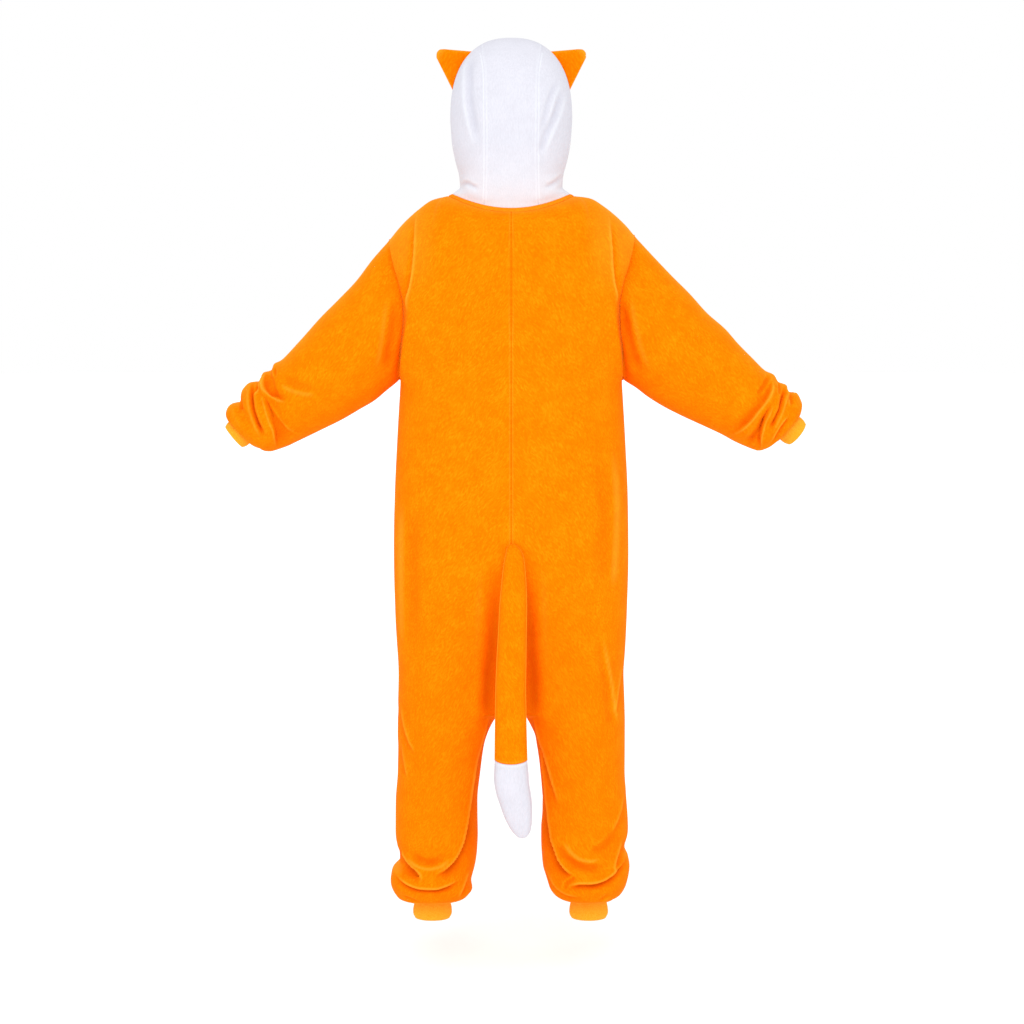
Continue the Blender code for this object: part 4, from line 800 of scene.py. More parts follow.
def tail_points(sizes):
    turn = tail_turns()
    piping = TAIL_PIPING * np.exp(-from_side_seam(turn) ** 2)

    def ring(places):
        across, wide, deep, behind, height = (
            read(sizes, name, places)[:, None]
            for name in ("across", "half_width", "half_depth", "behind", "height"))
        behind_share = np.maximum(np.cos(turn), 0) ** TAIL_SAG_POWER
        sag = TAIL_SAG * np.exp(-((height - TAIL_SEAM_Z) / TAIL_SAG_REACH) ** 2) * behind_share
        piped = wide + piping * np.minimum(wide / TAIL_PIPED_WIDTH, 1)
        return np.stack(np.broadcast_arrays(
            across + piped * np.sin(turn), behind + deep * np.cos(turn), height - sag), -1)

    return ring(even_places(ring, np.linspace(0, len(sizes["height"]) - 1, TAIL_SAMPLES), TAIL_STEP))


# painted highlight on the tail's side seams and painted shade on the line inside them
PIPING_PAINTED_HIGHLIGHT = 0.9             # tones of the side seam and of the line inside it, in piping widths
PIPING_TONE_WIDTH = 1.5
INNER_PAINTED_SHADE = 0.35
INNER_PLACE = 3.6
INNER_WIDTH = 1.4
# painted shade on the tip's seam and painted highlight on the cloth beside it
TIP_SEAM_PAINTED_SHADE_AND_HIGHLIGHT = 0.5           # tones of the tip's seam and of the cloth beside it, in metres
TIP_SEAM_WIDTH = 0.0012
TIP_LIP_PLACE = 0.0035
TIP_LIP_WIDTH = 0.0015


def tail_painted_light(points):
    """A painted highlight on the side seams, a painted dark line of shade inside them, and both at the tip's
    seam.
    """
    away = from_side_seam(tail_turns())[None, :]
    sag = TAIL_SAG * np.maximum(np.cos(tail_turns()), 0) ** TAIL_SAG_POWER
    to_tip = np.abs(points[..., 2] - TAIL_SEAM_Z + sag)
    sides = PIPING_PAINTED_HIGHLIGHT * np.exp(-(away / PIPING_TONE_WIDTH) ** 2)
    inside = INNER_PAINTED_SHADE * np.exp(-((away - INNER_PLACE) / INNER_WIDTH) ** 2)
    lip = TIP_SEAM_PAINTED_SHADE_AND_HIGHLIGHT * bump_at(to_tip, TIP_LIP_PLACE, TIP_LIP_WIDTH)
    return sides - inside + lip - TIP_SEAM_PAINTED_SHADE_AND_HIGHLIGHT * bump_at(to_tip, 0, TIP_SEAM_WIDTH)


print("tail", tail_points(TAIL).shape[:2], "tip", tail_points(TAIL_TIP).shape[:2])

# %% [markdown]
# ## Where the cloth creases
#
# Fleece is thick, so it makes few, round folds. They come where the garment is longer than the wearer,
# above the cuffs, and where it is pulled, from the armhole down the back and at the seat. There are two
# kinds. A crease is a trough with a soft roll of cloth beside it. In a lap the cloth on one side slides
# over the other, so its edge is steep and stands above a hollow. Each one is a line drawn over the
# cloth as seen from behind, in millimetres. The front gets the same folds, moved a little and
# shallower, so that it doesn't look pressed flat.

# %% Creases and laps
Crease = namedtuple("Crease", "on face depth width lift roll path")
Lap = namedtuple("Lap", "on face height depth run width path")
CREASES = [
    # left wrist
    Crease("sleeve", 1, 9.0, 2.7, 1.6, 8,
           [(460, -330), (461, -356), (459, -374), (453, -395), (447, -410), (436, -434)]),
    Crease("sleeve", 1, 3.0, 8.0, 1.5, 14, [(404, -325), (385, -335), (365, -340), (345, -342)]),
    Crease("sleeve", 1, 4.5, 2.6, 1.5, 6, [(483, -362), (482, -370), (480, -384)]),
    Crease("sleeve", 1, 3.5, 2.6, 1.5, 5, [(421, -308), (420, -316), (418, -324)]),
    Crease("sleeve", 1, 1.8, 9.0, 0.5, 12, [(488, -376), (482, -392), (472, -408)]),
    # right wrist
    Crease("sleeve", 1, 8.0, 3.2, 2.0, -7,
           [(-489, -342), (-482, -360), (-477, -380), (-468, -398), (-458, -419)]),
    Crease("sleeve", 1, 6.0, 5.5, 0.4, 12,
           [(-454, -388), (-446, -402), (-438, -418), (-429, -433), (-418, -446)]),
    Crease("sleeve", 1, 3.6, 3.2, 1.0, -7, [(-461, -320), (-448, -339), (-436, -355)]),
    Crease("sleeve", 1, 3.0, 2.6, 1.4, 5, [(-478, -334), (-477, -346), (-476, -357)]),
    # left ankle
    Crease("body", 1, 4.2, 6.0, 2.4, 13,
           [(178, -1172), (164, -1185), (148, -1190), (133, -1186), (116, -1170)]),
    Crease("body", 1, 3.0, 3.4, 1.2, -6, [(194, -1257), (181, -1260), (168, -1266)]),
    # right ankle
    Crease("body", 1, 4.6, 7.0, 2.6, -14,
           [(-80, -1152), (-97, -1178), (-118, -1195), (-141, -1200), (-168, -1194)]),
    Crease("body", 1, 3.2, 8.0, 0.8, 14, [(-186, -1132), (-176, -1152), (-158, -1165), (-140, -1168)]),
    Crease("body", 1, 3.0, 3.6, 1.4, 6, [(-117, -1216), (-107, -1223), (-99, -1231), (-97, -1242)]),
    Crease("body", 1, 2.6, 3.2, 1.2, 6, [(-158, -1262), (-166, -1257), (-174, -1251)]),
    # seat and legs
    Crease("body", 1, 5.8, 13.0, 0.4, 30,
           [(24, -640), (29, -720), (33, -790), (37, -850), (40, -900), (46, -960)]),
    Crease("body", 1, 5.8, 13.0, 0.4, -30,
           [(-26, -640), (-30, -720), (-33, -790), (-36, -850), (-38, -900), (-45, -965)]),
    Crease("body", 1, 2.2, 14.0, 1.5, 24, [(172, -540), (174, -620), (174, -717), (172, -820)]),
    Crease("body", 1, 2.0, 14.0, 1.5, -24, [(-158, -440), (-165, -560), (-162, -640), (-158, -700)]),
    Crease("body", 1, 2.4, 7.0, 2.4, -11,
           [(-150, -775), (-160, -829), (-166, -857), (-174, -918), (-182, -948)]),
    # sleeve behind the armhole
    Crease("sleeve", 1, 4.4, 9.0, 0.8, 18, [(203, -185), (207, -222), (211, -255), (216, -285), (224, -318)]),
    Crease("sleeve", 1, 5.2, 8.0, 0.8, -18,
           [(-195, -185), (-199, -215), (-206, -248), (-216, -285), (-232, -322)]),
    # hood
    Crease("hood", 1, 2.6, 7.0, 1.2, 11, [(66, 240), (73, 208), (73, 171), (67, 127), (53, 76)]),
    Crease("hood", 1, 2.4, 6.0, 1.2, -10, [(-91, 185), (-76, 135), (-60, 98), (-48, 62)]),
    Crease("hood", 1, 1.8, 5.0, 1.0, -9, [(-80, 195), (-66, 160), (-52, 105)]),
    Crease("hood", 1, 2.8, 3.0, 0.8, -8, [(90, 13), (80, 17), (70, 13), (56, 6)]),
    Crease("hood", 1, 2.4, 3.2, 0.9, 8, [(-94, 33), (-84, 24), (-73, 16), (-57, 9)])]
LAPS = [
    # left wrist
    Lap("sleeve", 1, 3.2, 6.0, 16, 13,
        [(437, -315), (439, -330), (437, -343), (430, -352), (420, -359), (408, -363), (396, -366)]),
    Lap("sleeve", 1, 3.0, 5.0, -9, 5, [(446, -322), (447, -338), (451, -349), (460, -355)]),
    Lap("sleeve", 1, 2.2, 6.0, 14, 17, [(442, -352), (434, -378), (427, -402), (420, -422), (418, -456)]),
    Lap("sleeve", 1, 1.8, 2.0, -16, 10, [(436, -360), (424, -379), (411, -399), (399, -415), (384, -426)]),
    # right wrist
    Lap("sleeve", 1, 3.0, 5.5, -16, 13,
        [(-463, -326), (-462, -342), (-456, -358), (-447, -371), (-436, -384), (-424, -400), (-408, -416),
         (-384, -430)]),
    Lap("sleeve", 1, 2.6, 6.5, -9, 6,
        [(-463, -370), (-455, -389), (-449, -403), (-445, -418), (-443, -434), (-445, -456)]),
    Lap("sleeve", 1, 2.4, 4.0, 9, 5, [(-493, -343), (-495, -360), (-497, -376)]),
    Lap("sleeve", 1, 2.4, 6.0, 9, 5, [(-494, -394), (-481, -408), (-473, -422), (-461, -446)]),
    # left ankle
    Lap("body", 1, 4.5, 7.5, -16, 6,
        [(214, -1219), (198, -1228), (182, -1235), (165, -1239), (150, -1240), (136, -1240), (119, -1236),
         (105, -1231), (86, -1221)]),
    Lap("body", 1, 4.0, 7.0, -22, 14,
        [(199, -1172), (196, -1182), (188, -1192), (179, -1201), (170, -1209), (165, -1216),
         (166, -1232)]),
    Lap("body", 1, 4.0, 9.0, 30, 13,
        [(72, -1085), (77, -1125), (82, -1148), (89, -1168), (97, -1183), (107, -1195), (120, -1206),
         (143, -1217)]),
    Lap("body", 1, 2.4, 4.0, 12, 7, [(73, -1212), (80, -1230), (86, -1245), (93, -1262)]),
    # right ankle
    Lap("body", 1, 4.5, 8.5, 16, 7,
        [(-212, -1190), (-198, -1203), (-187, -1212), (-175, -1220), (-165, -1225), (-150, -1229),
         (-138, -1230), (-124, -1230), (-112, -1233), (-98, -1241)]),
    Lap("body", 1, 4.0, 9.0, -30, 12,
        [(-64, -1090), (-66, -1125), (-69, -1145), (-74, -1163), (-80, -1180), (-88, -1197), (-99, -1209),
         (-120, -1218)]),
    Lap("body", 1, 2.6, 4.5, 14, 9,
        [(-203, -1152), (-196, -1172), (-190, -1190), (-187, -1202), (-189, -1214)]),
    Lap("body", 1, 2.0, 3.0, -12, 6,
        [(-58, -1205), (-68, -1227), (-78, -1241), (-90, -1249), (-105, -1254), (-128, -1255)]),
    # legs
    Lap("body", 1, 3.4, 6.0, 16, 9,
        [(36, -925), (45, -958), (52, -984), (59, -1008), (67, -1050), (72, -1090), (78, -1140)]),
    Lap("body", 1, 3.4, 5.0, -16, 9,
        [(-34, -925), (-44, -957), (-51, -980), (-60, -1003), (-72, -1048), (-86, -1098)]),
    Lap("body", 1, 3.0, 5.5, -16, 9, [(-46, -985), (-52, -1015), (-58, -1060), (-62, -1100), (-67, -1140)]),
    Lap("body", 1, 2.0, 3.0, -12, 9, [(202, -905), (194, -947), (184, -974), (172, -994)]),
    Lap("body", 1, 1.6, 2.4, -10, 8, [(199, -975), (195, -1005), (191, -1024), (188, -1040)]),
    Lap("body", 1, 1.8, 2.6, 12, 9, [(-203, -835), (-195, -873), (-190, -902), (-184, -925)]),
    Lap("body", 1, 1.8, 2.8, 12, 9, [(-206, -1070), (-199, -1100), (-192, -1118), (-180, -1140)]),
    # shoulder blades
    Lap("body", 1, 5.5, 3.2, -40, 8,
        [(170, -28), (170, -70), (171, -100), (174, -130), (177, -160), (181, -188), (184, -215)]),
    Lap("body", 1, 5.5, 3.2, 40, 8,
        [(-174, -34), (-176, -80), (-178, -110), (-180, -140), (-183, -168), (-186, -200)])]
TWIN_SHIFT = np.array([[4.0, -3.0]])
TWIN_DEPTH = 0.8
CENTRE_REACH = 40             # folds that start nearer to the middle than this stay on the back


def on_front(fold):
    path = (np.array(fold.path) + TWIN_SHIFT).tolist()
    height = "lift" if isinstance(fold, Crease) else "height"
    return fold._replace(face=-1, depth=fold.depth * TWIN_DEPTH, path=path,
                         **{height: getattr(fold, height) * TWIN_DEPTH})


FOLDS = CREASES + LAPS
FOLDS = FOLDS + [on_front(fold) for fold in FOLDS
                 if fold.on != "hood" and abs(fold.path[0][0]) > CENTRE_REACH]
print(len(CREASES), "creases and", len(LAPS), "laps behind,", len(FOLDS), "folds in all")

# %% [markdown]
# A fold is pressed in along the cloth's own normals. Its distance is signed, so the roll or the lapping
# cloth lies on one side, and its depth dies away at both ends and where the cloth turns away to the
# other face. A slow wave along it keeps it from looking machined. Each fold also gives a shade, deeper
# in its trough and paler on its edge, because soft light alone shows too little of them. The materials
# use it.

# %% Lines of folds
LINE_POINTS = 90
END_FADE = 0.22
FACING_GAIN = 1.6
FACING_START = 0.3


def near_line(line, reach, face, points, facing):
    """Which points lie near a line on their face, their signed distance from it and place along it."""
    seen = points[..., [0, 2]]
    inside = (seen > line.min(0) - reach) & (seen < line.max(0) + reach)
    near = inside.all(-1) & (facing[..., 1] * face * FACING_GAIN + FACING_START > 0)
    gaps = seen[near][:, None] - line
    closest = np.argmin((gaps ** 2).sum(-1), -1)
    forward = np.gradient(line, axis=0)[closest]
    gap = np.take_along_axis(gaps, closest[:, None, None], 1)[:, 0]
    stride = np.maximum(np.linalg.norm(forward, axis=-1), 1e-9)
    side = (forward[:, 0] * gap[:, 1] - forward[:, 1] * gap[:, 0]) / stride
    along = (closest + (forward * gap).sum(-1) / stride ** 2) / (LINE_POINTS - 1)
    turned = np.clip(facing[near][:, 1] * face * FACING_GAIN + FACING_START, 0, 1)
    return near, side, along, turned


def smooth_line(path):
    path = np.array(path) / 1000
    return curve(np.arange(len(path)), path, np.linspace(0, len(path) - 1, LINE_POINTS))


print("folds are drawn through", LINE_POINTS, "points each")

# %% Cross-sections of a crease and a lap
LAP_DROP = {"body": 0.0040, "sleeve": 0.0028}   # width of the steep edge of a lap
# the pale line on a lap's edge is a painted highlight
LAP_EDGE_PLACE = 0.8          # place and width of the pale line on that edge, as shares of it
LAP_EDGE_WIDTH = 0.6
ROLL_WIDTH = 0.62
FAR_ROLL = 0.45               # height of the roll on a crease's other side, as a share
WIDE_ROLL = 10                # millimetres beyond which a roll lies on one side only
# the pale lines on a crease's rolls are painted highlights
EDGE_PLACE = 0.9              # pale lines on the near and the far roll, as shares of its distance
FAR_EDGE_PLACE = 0.7
EDGE_WIDTH = 0.25
# a fold's trough gets painted shade and its edge a painted highlight, full at these millimetres
FULL_PAINTED_SHADE_DEPTH = 8.5              # millimetres of depth at which a trough is fully dark
FULL_PAINTED_HIGHLIGHT_LIFT = 3.2


def crease_form(crease, side):
    """Lift of a crease in millimetres at a distance from its line, and its painted shade and highlight."""
    width, roll = crease.width / 1000, crease.roll / 1000
    trough = crease.depth * bump_at(side, 0, width)
    far = FAR_ROLL if abs(crease.roll) < WIDE_ROLL else 0
    ridge = crease.lift * (bump_at(side, roll, ROLL_WIDTH * abs(roll))
                           + far * bump_at(side, -roll, ROLL_WIDTH * abs(roll)))
    edge = crease.lift * (bump_at(side, EDGE_PLACE * roll, EDGE_WIDTH * abs(roll))
                          + far * bump_at(side, -FAR_EDGE_PLACE * roll, EDGE_WIDTH * abs(roll)))
    return ridge - trough, edge / FULL_PAINTED_HIGHLIGHT_LIFT - trough / FULL_PAINTED_SHADE_DEPTH


def lap_form(lap, side):
    """The same for a lap: steep at its line, soft on the side that laps over and on the other."""
    inner = side * np.sign(lap.run)
    drop = LAP_DROP[lap.on]
    over = ease(inner / drop + 0.5)
    high = lap.height * np.exp(-(np.maximum(inner, 0) / abs(lap.run / 1000)) ** 2)
    low = lap.depth * np.exp(-(np.maximum(-inner, 0) / (lap.width / 1000)) ** 2)
    edge = bump_at(inner, LAP_EDGE_PLACE * drop, LAP_EDGE_WIDTH * drop) * min(lap.height / FULL_PAINTED_HIGHLIGHT_LIFT, 1)
    return mix(-low, high, over), edge - low / FULL_PAINTED_SHADE_DEPTH * (1 - over)


print("a 3 mm crease moves its line by", crease_form(CREASES[1], np.zeros(1))[0].round(2).tolist(), "mm")

# %% One fold in the cloth
REACH_SPAN = 3                # how far from its line a fold is worked out, in its own widths
WAVE_HEIGHT = 0.16            # slow wave and finer ripple along a fold, as shares of its height
WAVE_SWEEP = 9                # radians from end to end
WAVE_START = 40               # radians for each metre that a fold starts from the middle
RIPPLE_HEIGHT = 0.10
RIPPLE_SWEEP = 23


def fold_in(fold, points, facing):
    """Distance in metres by which one fold lifts each point, and its painted shade and highlight there."""
    line = smooth_line(fold.path)
    form, reach = ((crease_form, max(fold.width, abs(fold.roll))) if isinstance(fold, Crease)
                   else (lap_form, max(fold.width, abs(fold.run))))
    near, side, along, turned = near_line(line, REACH_SPAN * reach / 1000, fold.face, points, facing)
    fade = ease(np.minimum(along, 1 - along) / END_FADE)
    wave = 1 + WAVE_HEIGHT * np.sin(WAVE_SWEEP * along + WAVE_START * line[0, 0])
    wave = wave + RIPPLE_HEIGHT * np.sin(RIPPLE_SWEEP * along)
    lift, shade = (np.zeros(points.shape[:-1]) for _ in range(2))
    height, tone = form(fold, side)
    lift[near] = height / 1000 * fade * wave * turned
    shade[near] = tone * fade * turned
    return lift, shade


print("a fold fades out over", END_FADE, "of its length at either end")

# %% [markdown]
# ## All pieces of cloth, and the way their edges meet
#
# Each piece is now a grid with its outward side known. Where two pieces of one garment part meet, their
# normals are averaged, so that a crease runs over the seam unbroken. Towards a seam with something
# else, such as a cuff, creases fade out, so that it stays closed. A seam pulls the cloth in, so every
# edge is sunk by a narrow dip. The tube of a sleeve has its own seam along the underside.

# %% Grids of all pieces
Piece = namedtuple("Piece", "name points closed outward on")
SAME_SPOT = 1e-5


def cloth_pieces():
    pieces = []
    for side, turn in SIDES.items():
        place = np.array([turn, 1, 1])
        for word, face in FACES.items():
            points = panel_points(side, word) * place
            pieces.append(Piece(f"{word}_{side}", points, False, -face * turn, "body"))
        pieces.append(Piece(f"sleeve_{side}", sleeve_points(side) * place, True, -turn, "sleeve"))
        pieces.append(Piece(f"hood_side_{side}", hood_side_points() * place, False, -turn, "hood"))
    pieces.append(Piece("hood_middle", hood_strip_points(), False, -1, "hood"))
    return pieces


def grid_normals(piece):
    along = np.gradient(piece.points, axis=0)
    points = piece.points
    if piece.closed:
        points = np.concatenate([points[:, -2:-1], points, points[:, 1:2]], 1)
        across = (points[:, 2:] - points[:, :-2]) / 2
    else:
        across = np.gradient(points, axis=1)
    return unit(np.cross(across, along) * piece.outward)


all_pieces = cloth_pieces()
print(len(all_pieces), "pieces,", sum(piece.points[..., 0].size for piece in all_pieces), "points")

# %% Normals that agree along the seams
def seam_keys(points):
    return [tuple(spot) for spot in np.round(points.reshape(-1, 3) / SAME_SPOT).astype(int).tolist()]


def rim_spots(piece):
    """Places in the grid along every edge of a piece."""
    rows, columns = piece.points.shape[:2]
    spots = [(row, column) for row in (0, rows - 1) for column in range(columns)]
    if not piece.closed:
        spots += [(row, column) for row in range(rows) for column in (0, columns - 1)]
    return spots


def shared_normals(pieces):
    found = [grid_normals(piece) for piece in pieces]
    meeting = {}
    for number, piece in enumerate(pieces):
        for spot in rim_spots(piece):
            key = seam_keys(piece.points[spot])[0]
            meeting.setdefault((piece.on, key), []).append((number, spot))
    for places in meeting.values():
        joined = unit(sum(found[number][spot] for number, spot in places))
        for number, spot in places:
            found[number][spot] = joined
    alike = {}
    for (on, key), places in meeting.items():
        for number, spot in places:
            centre = on == "body" and key[0] == 0
            alike.setdefault(number, {})[spot] = centre or len({other for other, _ in places}) > 1
            if centre:
                found[number][spot] = unit(found[number][spot] * (0, 1, 1))
    print("points on seams:", len({key for _, key in meeting}))
    return found, alike


all_normals, on_like_seam = shared_normals(all_pieces)

# %% [markdown]
# The hood's open edge is turned in and sewn down, so a band beside it is a little thicker, with a line
# of stitches pressed in along it. Behind each armhole the wide back stands out over the sleeve: its
# edge rises at once from the seam, leaning outwards, and the sleeve starts with a hollow.

# %% Hem, seams and armholes
FOLD_FADE = 0.012             # distance from a seam with another part over which folds fade
SEAM_WIDTH = 0.0014
SEAM_DIP = {"body": 0.0005, "sleeve": 0.0012, "hood": 0.0}
SEAM_LIP = {"body": 0.0003, "sleeve": 0.0004, "hood": 0.0001}   # rise of the cloth beside a seam
LIP_PLACE = 0.0024
# a seam's line is painted shade, and the cloth beside it gets a painted highlight
SEAM_PAINTED_SHADE = {"body": 0.45, "sleeve": 0.80, "hood": 0.12}        # how deep a seam's line is drawn
SEAM_TONE_WIDTH = 0.8         # widths of the two tones beside a seam, as shares of its own
LIP_PAINTED_HIGHLIGHT = {"body": 0.30, "sleeve": 0.30, "hood": 0.50}
LIP_TONE_WIDTH = 0.7
# painted shade along the armhole seam where the back doesn't stand over it
ARMHOLE_PAINTED_SHADE = 0.60
HEM_WIDTH = 0.016
HEM_RISE = 0.0007
STITCH_DIP = 0.0011
STITCH_WIDTH = 0.0013
FACE_NAMES = ("hood_side_left", "hood_side_right", "hood_middle")
OVERHANG = 0.0075             # height of the back's edge over the armhole seam
OVERHANG_START = 0.0016
OVERHANG_RUN = 0.036
OVERHANG_LEAN = 0.8
HOLLOW = 0.0045               # depth of the sleeve's hollow and how far from the seam it lies
HOLLOW_PLACE = 0.0050
# painted shade in the sleeve's hollow
HOLLOW_PAINTED_SHADE = 0.22
HOLLOW_TONE_REACH = 3         # in distances of the hollow from the seam
# painted highlight on the back's raised edge over the armhole
OVERHANG_PAINTED_HIGHLIGHT = 0.8
OVERHANG_TONE_PLACE = 1.6     # in widths of the overhang's start
OVERHANG_Z = (-0.150, -0.205)
OVERHANG_END_Z = (-0.345, -0.325)


def distance_to(spots, points):
    tree = KDTree(len(spots))
    for number, spot in enumerate(spots):
        tree.insert(Vector(spot), number)
    tree.balance()
    return np.array([tree.find(Vector(point))[2] for point in points.reshape(-1, 3).tolist()]
                    ).reshape(points.shape[:-1])


def face_edge(piece):
    if piece.name == "hood_middle":
        return piece.points[-1]
    return piece.points[:, -1] if piece.name in FACE_NAMES else None


def between(height, start, stop):
    """Share from 0 to 1 of the way from one height to another."""
    return ease((height - start) / (stop - start))


def armhole_form(piece, facing, to_other):
    """Overhang of a body panel and hollow of a sleeve along the armhole, and their painted highlight and
    shade.
    """
    height = piece.points[..., 2]
    zone = between(height, *OVERHANG_Z) * between(height, *OVERHANG_END_Z)
    zone = zone * np.clip(np.abs(facing[..., 1]) * FACING_GAIN, 0, 1)
    if piece.on == "body":
        start = 1 - np.exp(-to_other / OVERHANG_START)
        rise = OVERHANG * start * np.exp(-(to_other / OVERHANG_RUN) ** 2)
        edge = bump_at(to_other, OVERHANG_TONE_PLACE * OVERHANG_START, OVERHANG_START)
        edge = OVERHANG_PAINTED_HIGHLIGHT * edge * zone
        return rise * zone, edge - ARMHOLE_PAINTED_SHADE * bump_at(to_other, 0, SEAM_WIDTH) * (1 - zone)
    share = to_other / HOLLOW_PLACE
    hollow = share * np.exp(1 - share)
    shade = np.exp(-(to_other / (HOLLOW_TONE_REACH * HOLLOW_PLACE)) ** 2)
    return -HOLLOW * hollow * zone, -HOLLOW_PAINTED_SHADE * shade * zone


print("the back stands", OVERHANG * 1000, "mm over its armhole seam")

# %% [markdown]
# Some light and shade is painted in, to match the real suit where this even light doesn't: painted highlights
# make its shoulders, the foot of its hood, the turns over its cuffs and the rims that face up paler, and
# painted shade makes its legs a little darker. Where the legs part, creases flatten out, so that none crosses
# the seam.

# %% Painted light and shade by height, and painted highlights on rims
# painted shade that makes the legs a little darker, standing in for light that falls off towards the floor
LEG_PAINTED_SHADE = 0.12
LEG_PAINTED_SHADE_Z = -0.640
LEG_PAINTED_SHADE_FADE = 0.300
CALM_HEIGHT = 0.016
CALM_WIDTH = 0.070
# painted highlight on rims that face up
RIM_PAINTED_HIGHLIGHT = 0.85
RIM_RISE = 0.70
RIM_LEAN = 0.36
# painted highlight on the shoulders, as if the light from above were brighter there
SHOULDER_PAINTED_HIGHLIGHT = 0.25
SHOULDER_HIGHLIGHT_Z = (-0.200, -0.080)
SHOULDER_HIGHLIGHT_X = (0.120, 0.175)
# painted light that makes the foot of the hood paler
NECK_PAINTED_LIGHT = 0.5
NECK_ZONE = (-0.020, 0.065)
# painted highlight along the lowest turn of the leg's cloth
CURL_PAINTED_HIGHLIGHT = 0.6
CURL_Z = -1.2705              # lowest turn of the leg's cloth, over the cuff
CURL_WIDTH = 0.0020


def painted_light_by_height(piece, shade):
    """The shade of a piece with the painted light and shade added that follow its height."""
    height = piece.points[..., 2]
    if piece.on == "body":
        shade = shade + CURL_PAINTED_HIGHLIGHT * bump_at(height, CURL_Z, CURL_WIDTH)
        aside = between(np.abs(piece.points[..., 0]), *SHOULDER_HIGHLIGHT_X)
        shade = shade + SHOULDER_PAINTED_HIGHLIGHT * between(height, *SHOULDER_HIGHLIGHT_Z) * aside
        shade = shade - LEG_PAINTED_SHADE * ease((LEG_PAINTED_SHADE_Z - height) / LEG_PAINTED_SHADE_FADE)
    if piece.on == "hood":
        shade = shade + NECK_PAINTED_LIGHT * bump_at(height, *NECK_ZONE)
    return shade


# painted highlight on rims that face up, from the pressed cloth's own normals
def painted_rim_highlight(folded, facing):
    turned = grid_normals(folded)
    turned *= np.sign((turned * facing).sum(-1, keepdims=True))
    return RIM_PAINTED_HIGHLIGHT * ease(turned[..., 2] / RIM_RISE) * bump_at(turned[..., 1], 0, RIM_LEAN)


print("a rim that faces up gets", RIM_PAINTED_HIGHLIGHT, "of the bright tone")

# %% Press everything in
def pressed(number, piece):
    """The piece with its folds, seams and hem pressed in, and the shade of each point."""
    facing = all_normals[number]
    rise, shade, outward = (np.zeros(piece.points.shape[:2]) for _ in range(3))
    # each fold adds its painted shade and highlight
    for fold in FOLDS:
        if fold.on == piece.on:
            lift, tone = fold_in(fold, piece.points, facing)
            rise += lift
            shade += tone
    open_edge = face_edge(piece)
    to_hem = None if open_edge is None else distance_to(open_edge.tolist(), piece.points)
    rim = rim_spots(piece)
    lone = [piece.points[spot].tolist() for spot in rim if not on_like_seam[number][spot]]
    if lone:
        to_other = distance_to(lone, piece.points)
        rise *= ease(to_other / FOLD_FADE)
        shade *= ease(to_other / FOLD_FADE)
        if piece.on != "hood":
            overhang, tone = armhole_form(piece, facing, to_other)
            shade += tone
            outward = np.maximum(overhang, 0)
            rise += np.minimum(overhang, 0)
    shade = painted_light_by_height(piece, shade)
    if piece.on == "body":
        at_fork = bump_at(piece.points[..., 2], CROTCH_Z, CALM_HEIGHT)
        rise *= 1 - at_fork * bump_at(piece.points[..., 0], 0, CALM_WIDTH)
    sewn = [piece.points[spot].tolist() for spot in rim]
    if to_hem is not None:
        sewn = [spot for spot in sewn if distance_to(open_edge.tolist(), np.array(spot)) > SAME_SPOT]
        rise += HEM_RISE * ease((HEM_WIDTH - to_hem) / STITCH_WIDTH)
        rise -= STITCH_DIP * bump_at(to_hem, HEM_WIDTH, STITCH_WIDTH)
    if piece.on == "sleeve":
        sewn += piece.points[:, SLEEVE_COLUMNS // 2].tolist()
    to_seam = distance_to(sewn, piece.points)
    rise -= SEAM_DIP[piece.on] * bump_at(to_seam, 0, SEAM_WIDTH)
    rise += SEAM_LIP[piece.on] * bump_at(to_seam, LIP_PLACE, SEAM_WIDTH)
    # painted highlight beside each seam and painted shade along it
    shade += LIP_PAINTED_HIGHLIGHT[piece.on] * bump_at(to_seam, LIP_PLACE, LIP_TONE_WIDTH * SEAM_WIDTH)
    shade -= SEAM_PAINTED_SHADE[piece.on] * bump_at(to_seam, 0, SEAM_TONE_WIDTH * SEAM_WIDTH)
    lean = np.stack([np.sign(piece.points[..., 0]) * OVERHANG_LEAN] + [np.zeros_like(rise)] * 2, -1)
    points = piece.points + facing * rise[..., None] + unit(facing + lean) * outward[..., None]
    folded = piece._replace(points=points)
    if piece.on != "hood":
        shade += painted_rim_highlight(folded, facing)
    return folded, np.clip(shade, -1, 1)


cloth, shades = {}, {}
for number, piece in enumerate(all_pieces):
    cloth[piece.name], shades[piece.name] = pressed(number, piece)
darkest = min(shade.min() for shade in shades.values())
print("pressed", len(cloth), "pieces; darkest shade", round(float(darkest), 2))

# %% [markdown]
# ## From points to cloth
#
# A grid from the bmesh operator is bent onto the points of each piece, and a tube's first and last
# columns are merged. The Solidify modifier then gives it the thickness of fleece, inwards, so the
# outside stays where the pattern puts it.

# %% Sheets and tubes
FLEECE_WALL = 0.0022
WELD = 1e-6


